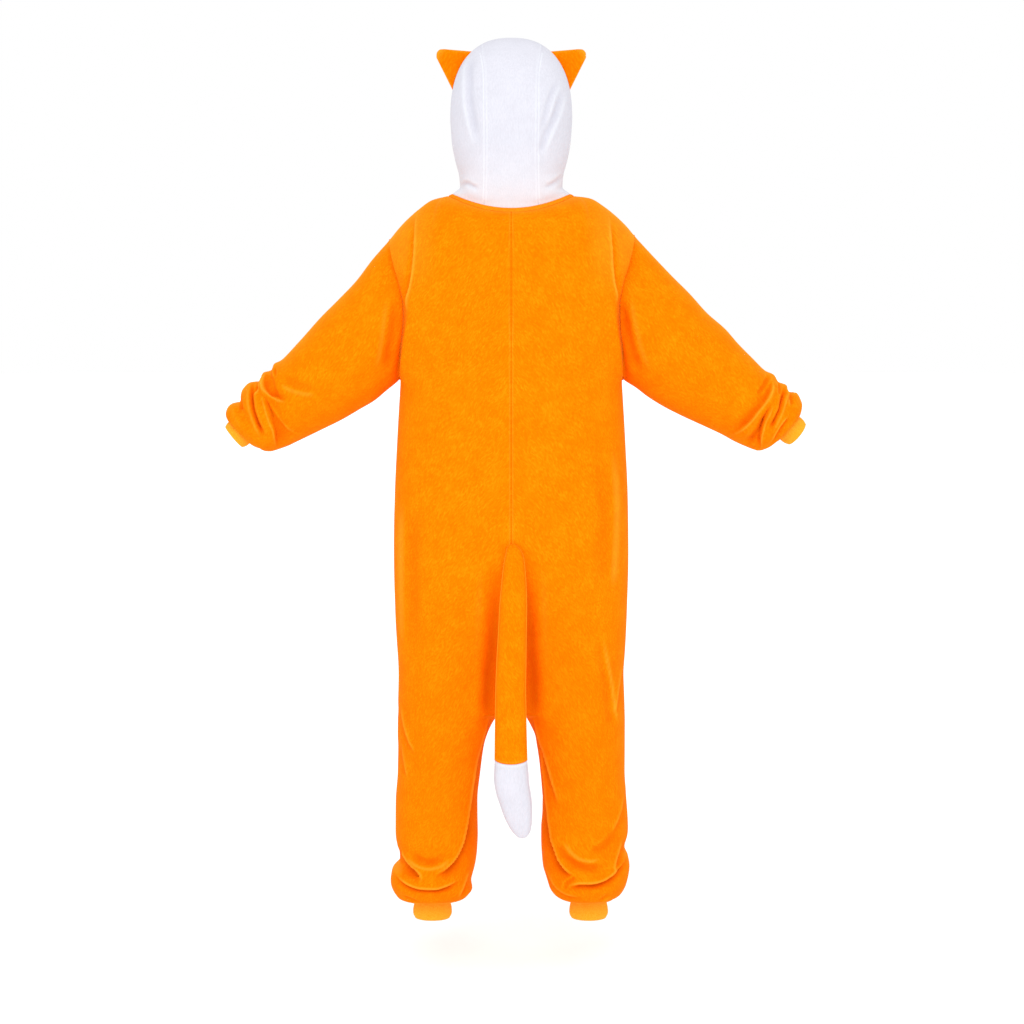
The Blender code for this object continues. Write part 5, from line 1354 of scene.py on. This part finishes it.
def grid_mesh(points, joined=False, capped=False, flip=False, shade=None):
    rows, columns = points.shape[:2]
    mesh = bmesh.new()
    # each point carries its painted light and shade: below zero painted shade, above zero painted highlight
    layer = mesh.verts.layers.float.new("painted_light_and_shade")
    bmesh.ops.create_grid(mesh, x_segments=columns - 1, y_segments=rows - 1, size=0.5)
    for vertex in mesh.verts:
        column = round((vertex.co.x + 0.5) * (columns - 1))
        row = round((vertex.co.y + 0.5) * (rows - 1))
        vertex.co = points[row, column]
        vertex[layer] = 0.0 if shade is None else shade[row, column]
    if joined:
        bmesh.ops.remove_doubles(mesh, verts=mesh.verts, dist=WELD)
    if capped:
        bmesh.ops.holes_fill(mesh, edges=[edge for edge in mesh.edges if edge.is_boundary], sides=0)
    if flip:
        bmesh.ops.reverse_faces(mesh, faces=mesh.faces)
    return mesh


def add_piece(name, mesh, finish, slot, *nodes):
    """The mesh as an object that rides on the garment and stands for CAD nodes."""
    data = bpy.data.meshes.new(name)
    cut_edges = [edge.is_boundary for edge in mesh.edges]
    mesh.to_mesh(data)
    mesh.free()
    data.materials.append(finish)
    data.shade_smooth()
    data.attributes.new("sharp_edge", "BOOLEAN", "EDGE").data.foreach_set("value", cut_edges)
    made = bpy.data.objects.new(name, data)
    bpy.context.scene.collection.objects.link(made)
    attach(made, "root")
    if nodes:
        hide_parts(*nodes)
    return made


def thicken(made, wall):
    shell = made.modifiers.new("cloth thickness", "SOLIDIFY")
    shell.thickness = wall
    shell.offset = -1.0
    return made


print("a sheet gets a wall of", FLEECE_WALL * 1000, "mm")

# %% [markdown]
# ## Materials
#
# The suit is made of polyester fleece: a knit whose back is brushed until the fibres stand up and felt
# into a short nap. The nap clumps into fine, wavy streaks a few millimetres long, takes no gloss, and
# catches light at its edges, which is what Sheen gives. The streaks are one noise, stretched along the
# brushing, and drive both the colour and a small bump.

# %% Nodes and shades
def linear(text):
    channels = [int(text[place:place + 2], 16) / 255 for place in (1, 3, 5)]
    return tuple(c / 12.92 if c <= 0.04045 else ((c + 0.055) / 1.055) ** 2.4 for c in channels) + (1.0,)


def add_node(tree, kind, settings=(), **links):
    """A node with its settings, where a link names an input's place or name and what feeds it."""
    node = tree.nodes.new(kind)
    for name, value in settings:
        if isinstance(name, str) and hasattr(node, name):
            setattr(node, name, value)
        else:
            node.inputs[name].default_value = value
    for name, source in links.items():
        tree.links.new(source, node.inputs[name.replace("_", " ")])
    return node


def new_material(name, roughness, **sockets):
    made = bpy.data.materials.new(name)
    made.use_nodes = True
    shader = made.node_tree.nodes["Principled BSDF"]
    shader.inputs["Roughness"].default_value = roughness
    for socket, value in sockets.items():
        shader.inputs[socket.replace("_", " ")].default_value = value
    return made, made.node_tree, shader


# shares of the painted shade tone and of the painted highlight tone that a full shade takes
PAINTED_SHADE_SHARE = 0.85             # how much of the deep and the bright tone a full shade takes
PAINTED_HIGHLIGHT_SHARE = 0.60


def shaded(tree, shader, colour, deep, bright):
    """Feed a colour to the shader, with painted shade in troughs and painted highlights on edges, by the
    mesh's own painted light and shade.
    """
    shade = add_node(tree, "ShaderNodeAttribute", [("attribute_name", "painted_light_and_shade")])
    for tone, gain in ((deep, -PAINTED_SHADE_SHARE), (bright, PAINTED_HIGHLIGHT_SHARE)):
        share = add_node(tree, "ShaderNodeMath",
                         [("operation", "MULTIPLY"), ("use_clamp", True), (1, gain)],
                         Value=shade.outputs["Fac"])
        mixed = add_node(tree, "ShaderNodeMix", [("data_type", "RGBA"), (7, linear(tone))])
        tree.links.new(share.outputs[0], mixed.inputs[0])
        tree.links.new(colour, mixed.inputs[6])
        colour = mixed.outputs[2]
    tree.links.new(colour, shader.inputs["Base Color"])


print("a full shade takes", PAINTED_SHADE_SHARE, "of the deep tone and", PAINTED_HIGHLIGHT_SHARE, "of the bright one")

# %% Fleece
STREAK_PITCH = 0.0020         # a little coarser than the real nap, so that it shows
STREAK_STRETCH = 0.24         # streaks are longer than wide by one over this
PATCH_SIZE = 0.030
PATCH_SHARE = 0.30
SWAY_SIZE = 0.045             # size of the areas in which the nap lies one way
SWAY = 0.014
NAP_HEIGHT = 0.0009
NAP_STRENGTH = 0.40
TONE_STOPS = (0.50, 0.64, 0.84)


def fleece(name, tones, fringe, sheen, turn, deep, bright, mirrored):
    """Brushed polyester fleece: matt, streaked along the brushing and bright at its edges."""
    made, tree, shader = new_material(
        name, 0.95, Sheen_Weight=sheen, Sheen_Roughness=0.28, Sheen_Tint=linear(fringe),
        Specular_IOR_Level=0.02)
    place = add_node(tree, "ShaderNodeTexCoord")
    apart = add_node(tree, "ShaderNodeSeparateXYZ", Vector=place.outputs["Object"])
    across = "ABSOLUTE" if mirrored else "MULTIPLY"
    aside = add_node(tree, "ShaderNodeMath", [("operation", across), (1, 1.0)], Value=apart.outputs["X"])
    halves = add_node(tree, "ShaderNodeCombineXYZ", X=aside.outputs[0], Y=apart.outputs["Y"],
                      Z=apart.outputs["Z"])
    turned = add_node(tree, "ShaderNodeMapping", [("Rotation", (0.0, turn, 0.0))],
                      Vector=halves.outputs["Vector"])
    sway = add_node(tree, "ShaderNodeTexNoise", [("Scale", 1 / SWAY_SIZE), ("Detail", 1.0)],
                    Vector=halves.outputs["Vector"])
    swayed = add_node(tree, "ShaderNodeVectorMath", [("operation", "MULTIPLY_ADD"), (1, (SWAY,) * 3)],
                      **{"Vector": sway.outputs["Color"]})
    tree.links.new(turned.outputs["Vector"], swayed.inputs[2])
    brushed = add_node(tree, "ShaderNodeMapping", [("Scale", (1.0, 1.0, STREAK_STRETCH))],
                       Vector=swayed.outputs[0])
    streaks = add_node(tree, "ShaderNodeTexNoise",
                       [("Scale", 1 / STREAK_PITCH), ("Detail", 3.0), ("Roughness", 0.6),
                        ("Distortion", 0.7)], Vector=brushed.outputs["Vector"])
    patches = add_node(tree, "ShaderNodeTexNoise",
                       [("Scale", 1 / PATCH_SIZE), ("Detail", 2.0)], Vector=place.outputs["Object"])
    both = add_node(tree, "ShaderNodeMath", [("operation", "MULTIPLY_ADD"), (1, PATCH_SHARE)],
                    **{"Value": patches.outputs["Fac"]})
    tree.links.new(streaks.outputs["Fac"], both.inputs[2])
    ramp = add_node(tree, "ShaderNodeValToRGB", Fac=both.outputs[0])
    stops = ramp.color_ramp.elements
    stops.new(0.5)
    for stop, position, tone in zip(stops, TONE_STOPS, tones):
        stop.position, stop.color = position, linear(tone)
    # painted shade and painted highlights, from the mesh, mixed into the colour
    shaded(tree, shader, ramp.outputs["Color"], deep, bright)
    nap = add_node(tree, "ShaderNodeBump", [("Strength", NAP_STRENGTH), ("Distance", NAP_HEIGHT)],
                   Height=streaks.outputs["Fac"])
    tree.links.new(nap.outputs["Normal"], shader.inputs["Normal"])
    return made


ORANGE_TONES = ("#f67200", "#fa7a00", "#fe8c06")
WHITE_TONES = ("#cbcbd4", "#cfcfd8", "#d4d4dd")
ORANGE_SHEEN = ("#ff9c3c", 0.26)
# painted shade for troughs and seams, and painted highlight for edges and rims, of the orange fleece
ORANGE_PAINTED_SHADE_AND_HIGHLIGHT = ("#c84c00", "#ffaa30")
ORANGE_LEAN = 0.55              # how far the brushing leans, in radians
TAIL_LEAN = -0.5
orange_fleece = fleece("orange polyester fleece", ORANGE_TONES, *ORANGE_SHEEN, ORANGE_LEAN, *ORANGE_PAINTED_SHADE_AND_HIGHLIGHT,
                       True)
tail_fleece = fleece("orange polyester fleece of the tail", ORANGE_TONES, *ORANGE_SHEEN, TAIL_LEAN,
                     *ORANGE_PAINTED_SHADE_AND_HIGHLIGHT, False)
# the white fleece's last two colours are its painted shade and painted highlight
white_fleece = fleece("white polyester fleece", WHITE_TONES, "#ffffff", 0.08, 0.0, "#a9aabb", "#eef4f8",
                      False)
print("fleece streaks are", STREAK_PITCH * 1000, "mm wide")

# %% [markdown]
# Rib knit is cotton, so it is matt and smoother than fleece, and its loops show as a fine grain. Sewing
# thread is polyester with a slight shine. The buttons are urea, a hard plastic with a soft gloss.

# %% Rib knit, thread and button plastic
LOOP_PITCH = 0.0016
LOOP_STOPS = (0.35, 0.68)
LOOP_HEIGHT = 0.0004


def knit(name, dark, pale):
    """Cotton rib knit: matt, with fine loops across the ribs."""
    made, tree, shader = new_material(name, 0.90, Sheen_Weight=0.08, Sheen_Roughness=0.5,
                                      Specular_IOR_Level=0.1)
    place = add_node(tree, "ShaderNodeTexCoord")
    loops = add_node(tree, "ShaderNodeTexNoise", [("Scale", 1 / LOOP_PITCH), ("Detail", 2.0)],
                     Vector=place.outputs["Object"])
    ramp = add_node(tree, "ShaderNodeValToRGB", Fac=loops.outputs["Fac"])
    for stop, position, tone in zip(ramp.color_ramp.elements, LOOP_STOPS, (dark, pale)):
        stop.position, stop.color = position, linear(tone)
    tree.links.new(ramp.outputs["Color"], shader.inputs["Base Color"])
    bump = add_node(tree, "ShaderNodeBump", [("Strength", 0.4), ("Distance", LOOP_HEIGHT)],
                    Height=loops.outputs["Fac"])
    tree.links.new(bump.outputs["Normal"], shader.inputs["Normal"])
    return made


orange_rib = knit("orange cotton rib", "#fc9a12", "#ffae2c")
thread, _, thread_shader = new_material("orange polyester thread", 0.6, Sheen_Weight=0.3)
thread_shader.inputs["Base Color"].default_value = linear("#ffae3c")
button_plastic, _, plastic_shader = new_material("orange urea button plastic", 0.34, IOR=1.5)
plastic_shader.inputs["Base Color"].default_value = linear("#e88010")
print("materials:", orange_fleece.name, white_fleece.name, orange_rib.name, button_plastic.name, sep=", ")

# %% [markdown]
# ## Sewing the body, sleeves, hood and cuffs
#
# Panels and hood pieces are open grids. Sleeves are tubes. Cuffs are closed in both directions, as a
# doubled band is, so they need no thickness of their own.

# %% Build the large pieces
made_pieces = {}
for name, piece in cloth.items():
    body_cloth = not name.startswith("hood")
    finish, slot = (orange_fleece, "orange_fleece") if body_cloth else (white_fleece, "white_fleece")
    mesh = grid_mesh(piece.points, piece.closed, flip=piece.outward < 0, shade=shades[name])
    made_pieces[name] = thicken(add_piece(f"{name}_cloth", mesh, finish, slot, name), FLEECE_WALL)

for side, turn in SIDES.items():
    place = np.array([turn, 1, 1])
    for word, points in (("wrist", wrist_cuff_points(side)), ("ankle", ankle_cuff_points(side))):
        mesh = grid_mesh(points * place, joined=True)
        bmesh.ops.recalc_face_normals(mesh, faces=mesh.faces)
        name = f"{word}_cuff_{side}"
        made_pieces[name] = add_piece(f"{name}_rib", mesh, orange_rib, "orange_rib", name)

tape_points = neck_tape_points()
tape = grid_mesh(tape_points, joined=True, capped=True, shade=np.full(tape_points.shape[:2], TAPE_PAINTED_LIGHT))
bmesh.ops.recalc_face_normals(tape, faces=tape.faces)
made_pieces["neck_binding"] = add_piece("neck_tape", tape, orange_fleece, "orange_fleece", "neck_binding")
print("built", len(made_pieces), "pieces")

# %% [markdown]
# ## Stuffed ears and tail
#
# An ear is two skins joined at their rims. The tail is a tube in two colours, closed at its ends, with
# the white tip sewn on at its end.

# %% Build ears and tail
for side, turn in SIDES.items():
    place = np.array([turn, 1, 1])
    behind, before = (skin * place for skin in ear_skins())
    ear = grid_mesh(behind, shade=ear_painted_light())
    inner = grid_mesh(before, shade=ear_painted_light())
    data = bpy.data.meshes.new("inner ear")
    inner.to_mesh(data)
    inner.free()
    ear.from_mesh(data)
    bpy.data.meshes.remove(data)
    rims = [edge for edge in ear.edges if edge.is_boundary]
    bmesh.ops.bridge_loops(ear, edges=rims)
    bmesh.ops.recalc_face_normals(ear, faces=ear.faces)
    name = f"ear_{side}"
    made_pieces[name] = add_piece(f"{name}_pad", ear, orange_fleece, "orange_fleece", name)

for name, sizes, finish, slot in (("tail", TAIL, tail_fleece, "orange_fleece"),
                                  ("tail_tip", TAIL_TIP, white_fleece, "white_fleece")):
    points = tail_points(sizes)
    mesh = grid_mesh(points, joined=True, capped=True, shade=tail_painted_light(points))
    bmesh.ops.recalc_face_normals(mesh, faces=mesh.faces)
    made_pieces[name] = add_piece(f"{name}_pad", mesh, finish, slot, name)
print("stuffed pieces:", [name for name in made_pieces if "ear" in name or "tail" in name])

# %% [markdown]
# ## Front strip and buttons
#
# The front closes with a folded strip of the same fleece, sewn over the centre seam from the neck to
# below the waist, with six buttons. The strip lies on the panels: its points are theirs, moved out.

# %% Front strip
PLACKET_HALF_WIDTH = 0.018
PLACKET_LOW_Z = -0.640
PLACKET_WALL = 0.0022
PLACKET_EDGE = 0.003          # distance from the edge of the strip to its stitches
PLACKET_STITCH_DIP = 0.7      # depth of its stitches beside the hem's, as a share
PLACKET_STITCH_WIDTH = 0.0009
PLACKET_ROUNDING = 0.35       # share of its wall by which its edge is rounded down, and over what length
PLACKET_ROUND_LENGTH = 0.0012
STRIP_POINTS = 33
STRIP_MIDDLE = STRIP_POINTS // 2
STRIP_RESTS = [4, 28]         # columns on which the strip is stretched over the centre seam
STRIP_SLACK = 0.0006
ON_CENTRE = 0.001             # how near the centre seam a panel's first column still counts as on it
strip_across = np.linspace(-1, 1, STRIP_POINTS) * PLACKET_HALF_WIDTH


def front_row(row):
    """Points of one row of the front, from the strip's right edge to its left, counted from the neck."""
    left, right = cloth["front_left"].points[row], cloth["front_right"].points[row]
    joined = np.vstack([right[:0:-1], left])
    away, height = (np.interp(strip_across, joined[:, 0], joined[:, axis]) for axis in (1, 2))
    return np.stack([strip_across, away, height], -1)


left_front = cloth["front_left"].points
torso_rows = [row for row in range(-len(left_front), 0)
              if left_front[row, 0, 2] > PLACKET_LOW_Z and abs(left_front[row, 0, 0]) < ON_CENTRE]
strip = np.array([front_row(row) for row in torso_rows])
strip[..., 1] = np.minimum(strip[..., 1], strip[:, STRIP_RESTS, 1].mean(1)[:, None] + STRIP_SLACK)
strip_facing = grid_normals(Piece("", strip, False, 1, ""))
strip_facing *= -np.sign(strip_facing[..., 1:2])
edge_gap = PLACKET_HALF_WIDTH - np.abs(strip_across)
stitched = STITCH_DIP * PLACKET_STITCH_DIP * bump_at(edge_gap, PLACKET_EDGE, PLACKET_STITCH_WIDTH)
rounded = PLACKET_WALL * PLACKET_ROUNDING * np.exp(-edge_gap / PLACKET_ROUND_LENGTH)
outer = strip + strip_facing * (LAY_GAP + PLACKET_WALL - stitched - rounded)[:, None]
mesh = grid_mesh(outer, flip=True)
made_pieces["front_placket"] = thicken(
    add_piece("front_strip", mesh, orange_fleece, "orange_fleece", "front_placket"), PLACKET_WALL)
print("strip of", strip.shape[:2], "points, heights", strip[[0, -1], STRIP_MIDDLE, 2].round(3).tolist())

# %% [markdown]
# A garment button is turned from a cast sheet: a dished middle inside a raised rim, with four holes. So
# it is a profile spun round an axis. The holes are cut with a Boolean, and a cross of thread goes
# through them.

# %% Turned and drilled button
BUTTON_RADIUS = 0.0095
BUTTON_THICKNESS = 0.0032
BUTTON_STEPS = 48
HOLES = 4
HOLE_STEPS = 16
DRILL_LENGTH = 0.02
HOLE_RADIUS = 0.0010
HOLE_AWAY = 0.0021
BUTTON_PROFILE = [(0.0, 0.0), (0.86, 0.0), (0.97, 0.16), (1.0, 0.5), (0.97, 0.84), (0.88, 1.0),
                  (0.78, 0.96), (0.66, 0.72), (0.55, 0.62), (0.0, 0.60)]


def spun(profile, radius, height, steps):
    mesh = bmesh.new()
    verts = [mesh.verts.new((radius * r, 0, height * (h - 0.5))) for r, h in profile]
    edges = [mesh.edges.new(pair) for pair in zip(verts, verts[1:])]
    bmesh.ops.spin(mesh, geom=verts + edges, axis=(0, 0, 1), cent=(0, 0, 0), angle=2 * math.pi,
                   steps=steps, use_merge=True)
    bmesh.ops.remove_doubles(mesh, verts=mesh.verts, dist=WELD)
    bmesh.ops.recalc_face_normals(mesh, faces=mesh.faces)
    return mesh


def mesh_object(name, mesh):
    data = bpy.data.meshes.new(name)
    mesh.to_mesh(data)
    mesh.free()
    made = bpy.data.objects.new(name, data)
    bpy.context.scene.collection.objects.link(made)
    return made


def drilled_button():
    """One button round the Z axis, as a mesh with its four holes cut."""
    disc = mesh_object("button blank", spun(BUTTON_PROFILE, BUTTON_RADIUS, BUTTON_THICKNESS, BUTTON_STEPS))
    bits = bmesh.new()
    for corner in range(HOLES):
        angle = math.pi / 4 + corner * 2 * math.pi / HOLES
        spot = (HOLE_AWAY * math.cos(angle), HOLE_AWAY * math.sin(angle), 0)
        bmesh.ops.create_cone(bits, cap_ends=True, segments=HOLE_STEPS, radius1=HOLE_RADIUS,
                              radius2=HOLE_RADIUS, depth=DRILL_LENGTH, matrix=Matrix.Translation(spot))
    drill = mesh_object("drill", bits)
    cut = disc.modifiers.new("holes", "BOOLEAN")
    cut.operation, cut.solver, cut.object = "DIFFERENCE", "EXACT", drill
    drilled = bpy.data.meshes.new_from_object(disc.evaluated_get(bpy.context.evaluated_depsgraph_get()))
    for used in (disc, drill):
        bpy.data.objects.remove(used)
    return drilled


blank = drilled_button()
print("button blank has", len(blank.polygons), "faces")

# %% [markdown]
# The thread is a small ring of points, extruded along a path that comes up one hole, crosses the middle
# and goes down the hole opposite. Two such strands make the cross.

# %% Cross of thread
THREAD_RADIUS = 0.00055
THREAD_STEPS = 8
THREAD_TOP = BUTTON_THICKNESS * 0.17
# from the button's middle outwards: distance as a share of the hole's, and height
THREAD_BEND = [(0.6, THREAD_TOP + 0.0003), (0.93, THREAD_TOP * 0.6), (1.0, -0.0015)]


def thread_cross():
    """Two strands of thread that cross over the middle of a button and go down its holes."""
    strands = bmesh.new()
    for turn in (math.pi / 4, 3 * math.pi / 4):
        strand = bmesh.new()
        bmesh.ops.create_circle(strand, segments=THREAD_STEPS, radius=THREAD_RADIUS)
        rim = strand.edges[:]
        half = [(HOLE_AWAY * share, height) for share, height in THREAD_BEND]
        path = [(-away, height) for away, height in half[::-1]] + half
        ring = strand.verts[:]
        bmesh.ops.translate(strand, verts=ring, vec=(path[0][0], 0, path[0][1]))
        for before, after in zip(path, path[1:]):
            grown = bmesh.ops.extrude_edge_only(strand, edges=rim)["geom"]
            ring = [item for item in grown if isinstance(item, bmesh.types.BMVert)]
            rim = [item for item in grown if isinstance(item, bmesh.types.BMEdge)]
            rim = [edge for edge in rim if all(vertex in ring for vertex in edge.verts)]
            step = (after[0] - before[0], 0, after[1] - before[1])
            bmesh.ops.translate(strand, verts=ring, vec=step)
        bmesh.ops.holes_fill(strand, edges=[edge for edge in strand.edges if edge.is_boundary], sides=0)
        bmesh.ops.rotate(strand, verts=strand.verts, matrix=Matrix.Rotation(turn, 3, "Z"))
        data = bpy.data.meshes.new("strand")
        strand.to_mesh(data)
        strand.free()
        strands.from_mesh(data)
        bpy.data.meshes.remove(data)
    bmesh.ops.recalc_face_normals(strands, faces=strands.faces)
    return strands


print("thread is", THREAD_RADIUS * 2000, "mm thick")

# %% Sew the buttons on
BUTTON_COUNT = 6
BUTTON_TOP_Z = -0.125
BUTTON_LOW_Z = -0.605
BUTTON_CREASE = 40            # degrees from which an edge of a button stays sharp
BUTTON_HEIGHTS = np.linspace(BUTTON_TOP_Z, BUTTON_LOW_Z, BUTTON_COUNT)
middle_line = outer[:, STRIP_MIDDLE]
middle_facing = strip_facing[:, STRIP_MIDDLE]
threads = bmesh.new()
for number, height in enumerate(BUTTON_HEIGHTS, 1):
    away = np.interp(height, middle_line[:, 2], middle_line[:, 1])
    slope = [np.interp(height, middle_line[:, 2], middle_facing[:, axis]) for axis in (1, 2)]
    facing = Vector((0.0, *slope)).normalized()
    centre = Vector((0.0, float(away), float(height))) + facing * (BUTTON_THICKNESS / 2 + LAY_GAP)
    turned = Vector((0, 0, 1)).rotation_difference(facing).to_matrix().to_4x4()
    placed = Matrix.Translation(centre) @ turned
    mesh = bmesh.new()
    mesh.from_mesh(blank)
    bmesh.ops.transform(mesh, matrix=placed, verts=mesh.verts)
    name = f"button_{number}"
    made_pieces[name] = add_piece(f"{name}_turned", mesh, button_plastic, "button_plastic", name)
    cross = thread_cross()
    bmesh.ops.transform(cross, matrix=placed, verts=cross.verts)
    data = bpy.data.meshes.new("cross")
    cross.to_mesh(data)
    cross.free()
    threads.from_mesh(data)
    bpy.data.meshes.remove(data)
bpy.data.meshes.remove(blank)
made_pieces["thread"] = add_piece("button_thread", threads, thread, "orange_fleece")
for made in made_pieces.values():
    if made.name.startswith("button_") and made.name.endswith("turned"):
        made.data.set_sharp_from_angle(angle=math.radians(BUTTON_CREASE))
print("buttons at", BUTTON_HEIGHTS.round(3).tolist())

# %% [markdown]


# %% [markdown]
# ## Floor, light and camera
#
# A pale studio: an opal floor lit from below, as small goods are often shown on, and an even white
# surround that lights every side. One large soft lamp stands above the camera and a weaker one low down,
# so that the undersides of folds don't go dark.

# %% Floor
FLOOR_Z = -1.385
FLOOR_RADIUS = 30.0
FLOOR_STEPS = 96
floor_material, floor_tree, floor_shader = new_material(
    "opal acrylic floor lit from below", 0.9, Specular_IOR_Level=0.1, Emission_Strength=0.16,
    Emission_Color=(1.0, 1.0, 1.0, 1.0))
floor_place = add_node(floor_tree, "ShaderNodeTexCoord")
floor_grain = add_node(floor_tree, "ShaderNodeTexNoise", [("Scale", 40.0), ("Detail", 3.0)],
                       Vector=floor_place.outputs["Object"])
floor_ramp = add_node(floor_tree, "ShaderNodeValToRGB", Fac=floor_grain.outputs["Fac"])
floor_ramp.color_ramp.elements[0].color = linear("#fafafa")
floor_ramp.color_ramp.elements[1].color = linear("#fcfcfc")
floor_tree.links.new(floor_ramp.outputs["Color"], floor_shader.inputs["Base Color"])
floor_mesh = bmesh.new()
bmesh.ops.create_circle(floor_mesh, cap_ends=True, segments=FLOOR_STEPS, radius=FLOOR_RADIUS,
                        matrix=Matrix.Translation((0, 0, FLOOR_Z)))
floor = mesh_object("studio_floor", floor_mesh)
floor.data.materials.append(floor_material)
print("floor at", FLOOR_Z)

# %% Soft light
world = bpy.data.worlds.new("white surround")
world.use_nodes = True
surround = world.node_tree.nodes["Background"]
surround.inputs["Color"].default_value = (1.0, 1.0, 1.0, 1.0)
surround.inputs["Strength"].default_value = 1.0
bpy.context.scene.world = world


def soft_sun(name, direction, spread, strength):
    """Even light from a direction, as wide in degrees as a large soft box looks."""
    light = bpy.data.lights.new(name, "SUN")
    light.angle, light.energy = math.radians(spread), strength
    lamp = bpy.data.objects.new(name, light)
    lamp.rotation_euler = Vector(direction).to_track_quat("Z", "Y").to_euler()
    bpy.context.scene.collection.objects.link(lamp)
    return lamp


soft_sun("key light", (0.12, 1.0, 0.80), 50, 0.85)
soft_sun("low fill", (-0.15, 1.0, 0.12), 40, 0.40)
print("lamps:", [lamp.name for lamp in bpy.data.lights])

# %% [markdown]
# The camera stands behind the suit at chest height, 5 m away, and its long lens keeps the sleeves and
# the cuffs from being drawn too large.

# %% Camera
LENS = 98.0
SENSOR = 36.0
CAMERA_PLACE = Vector((-0.00135, 5.0, -0.14))
CAMERA_TARGET = Vector((-0.00135, 0.0, -0.5689))
camera_data = bpy.data.cameras.new("camera")
camera_data.lens = LENS
camera_data.sensor_width = SENSOR
camera = bpy.data.objects.new("camera", camera_data)
camera.location = CAMERA_PLACE
camera.rotation_euler = (CAMERA_TARGET - CAMERA_PLACE).to_track_quat("-Z", "Y").to_euler()
bpy.context.scene.collection.objects.link(camera)
bpy.context.scene.camera = camera
bpy.context.scene.view_settings.view_transform = "Standard"
print("camera sees", round(2 * math.degrees(math.atan(SENSOR / 2 / LENS)), 1), "degrees")
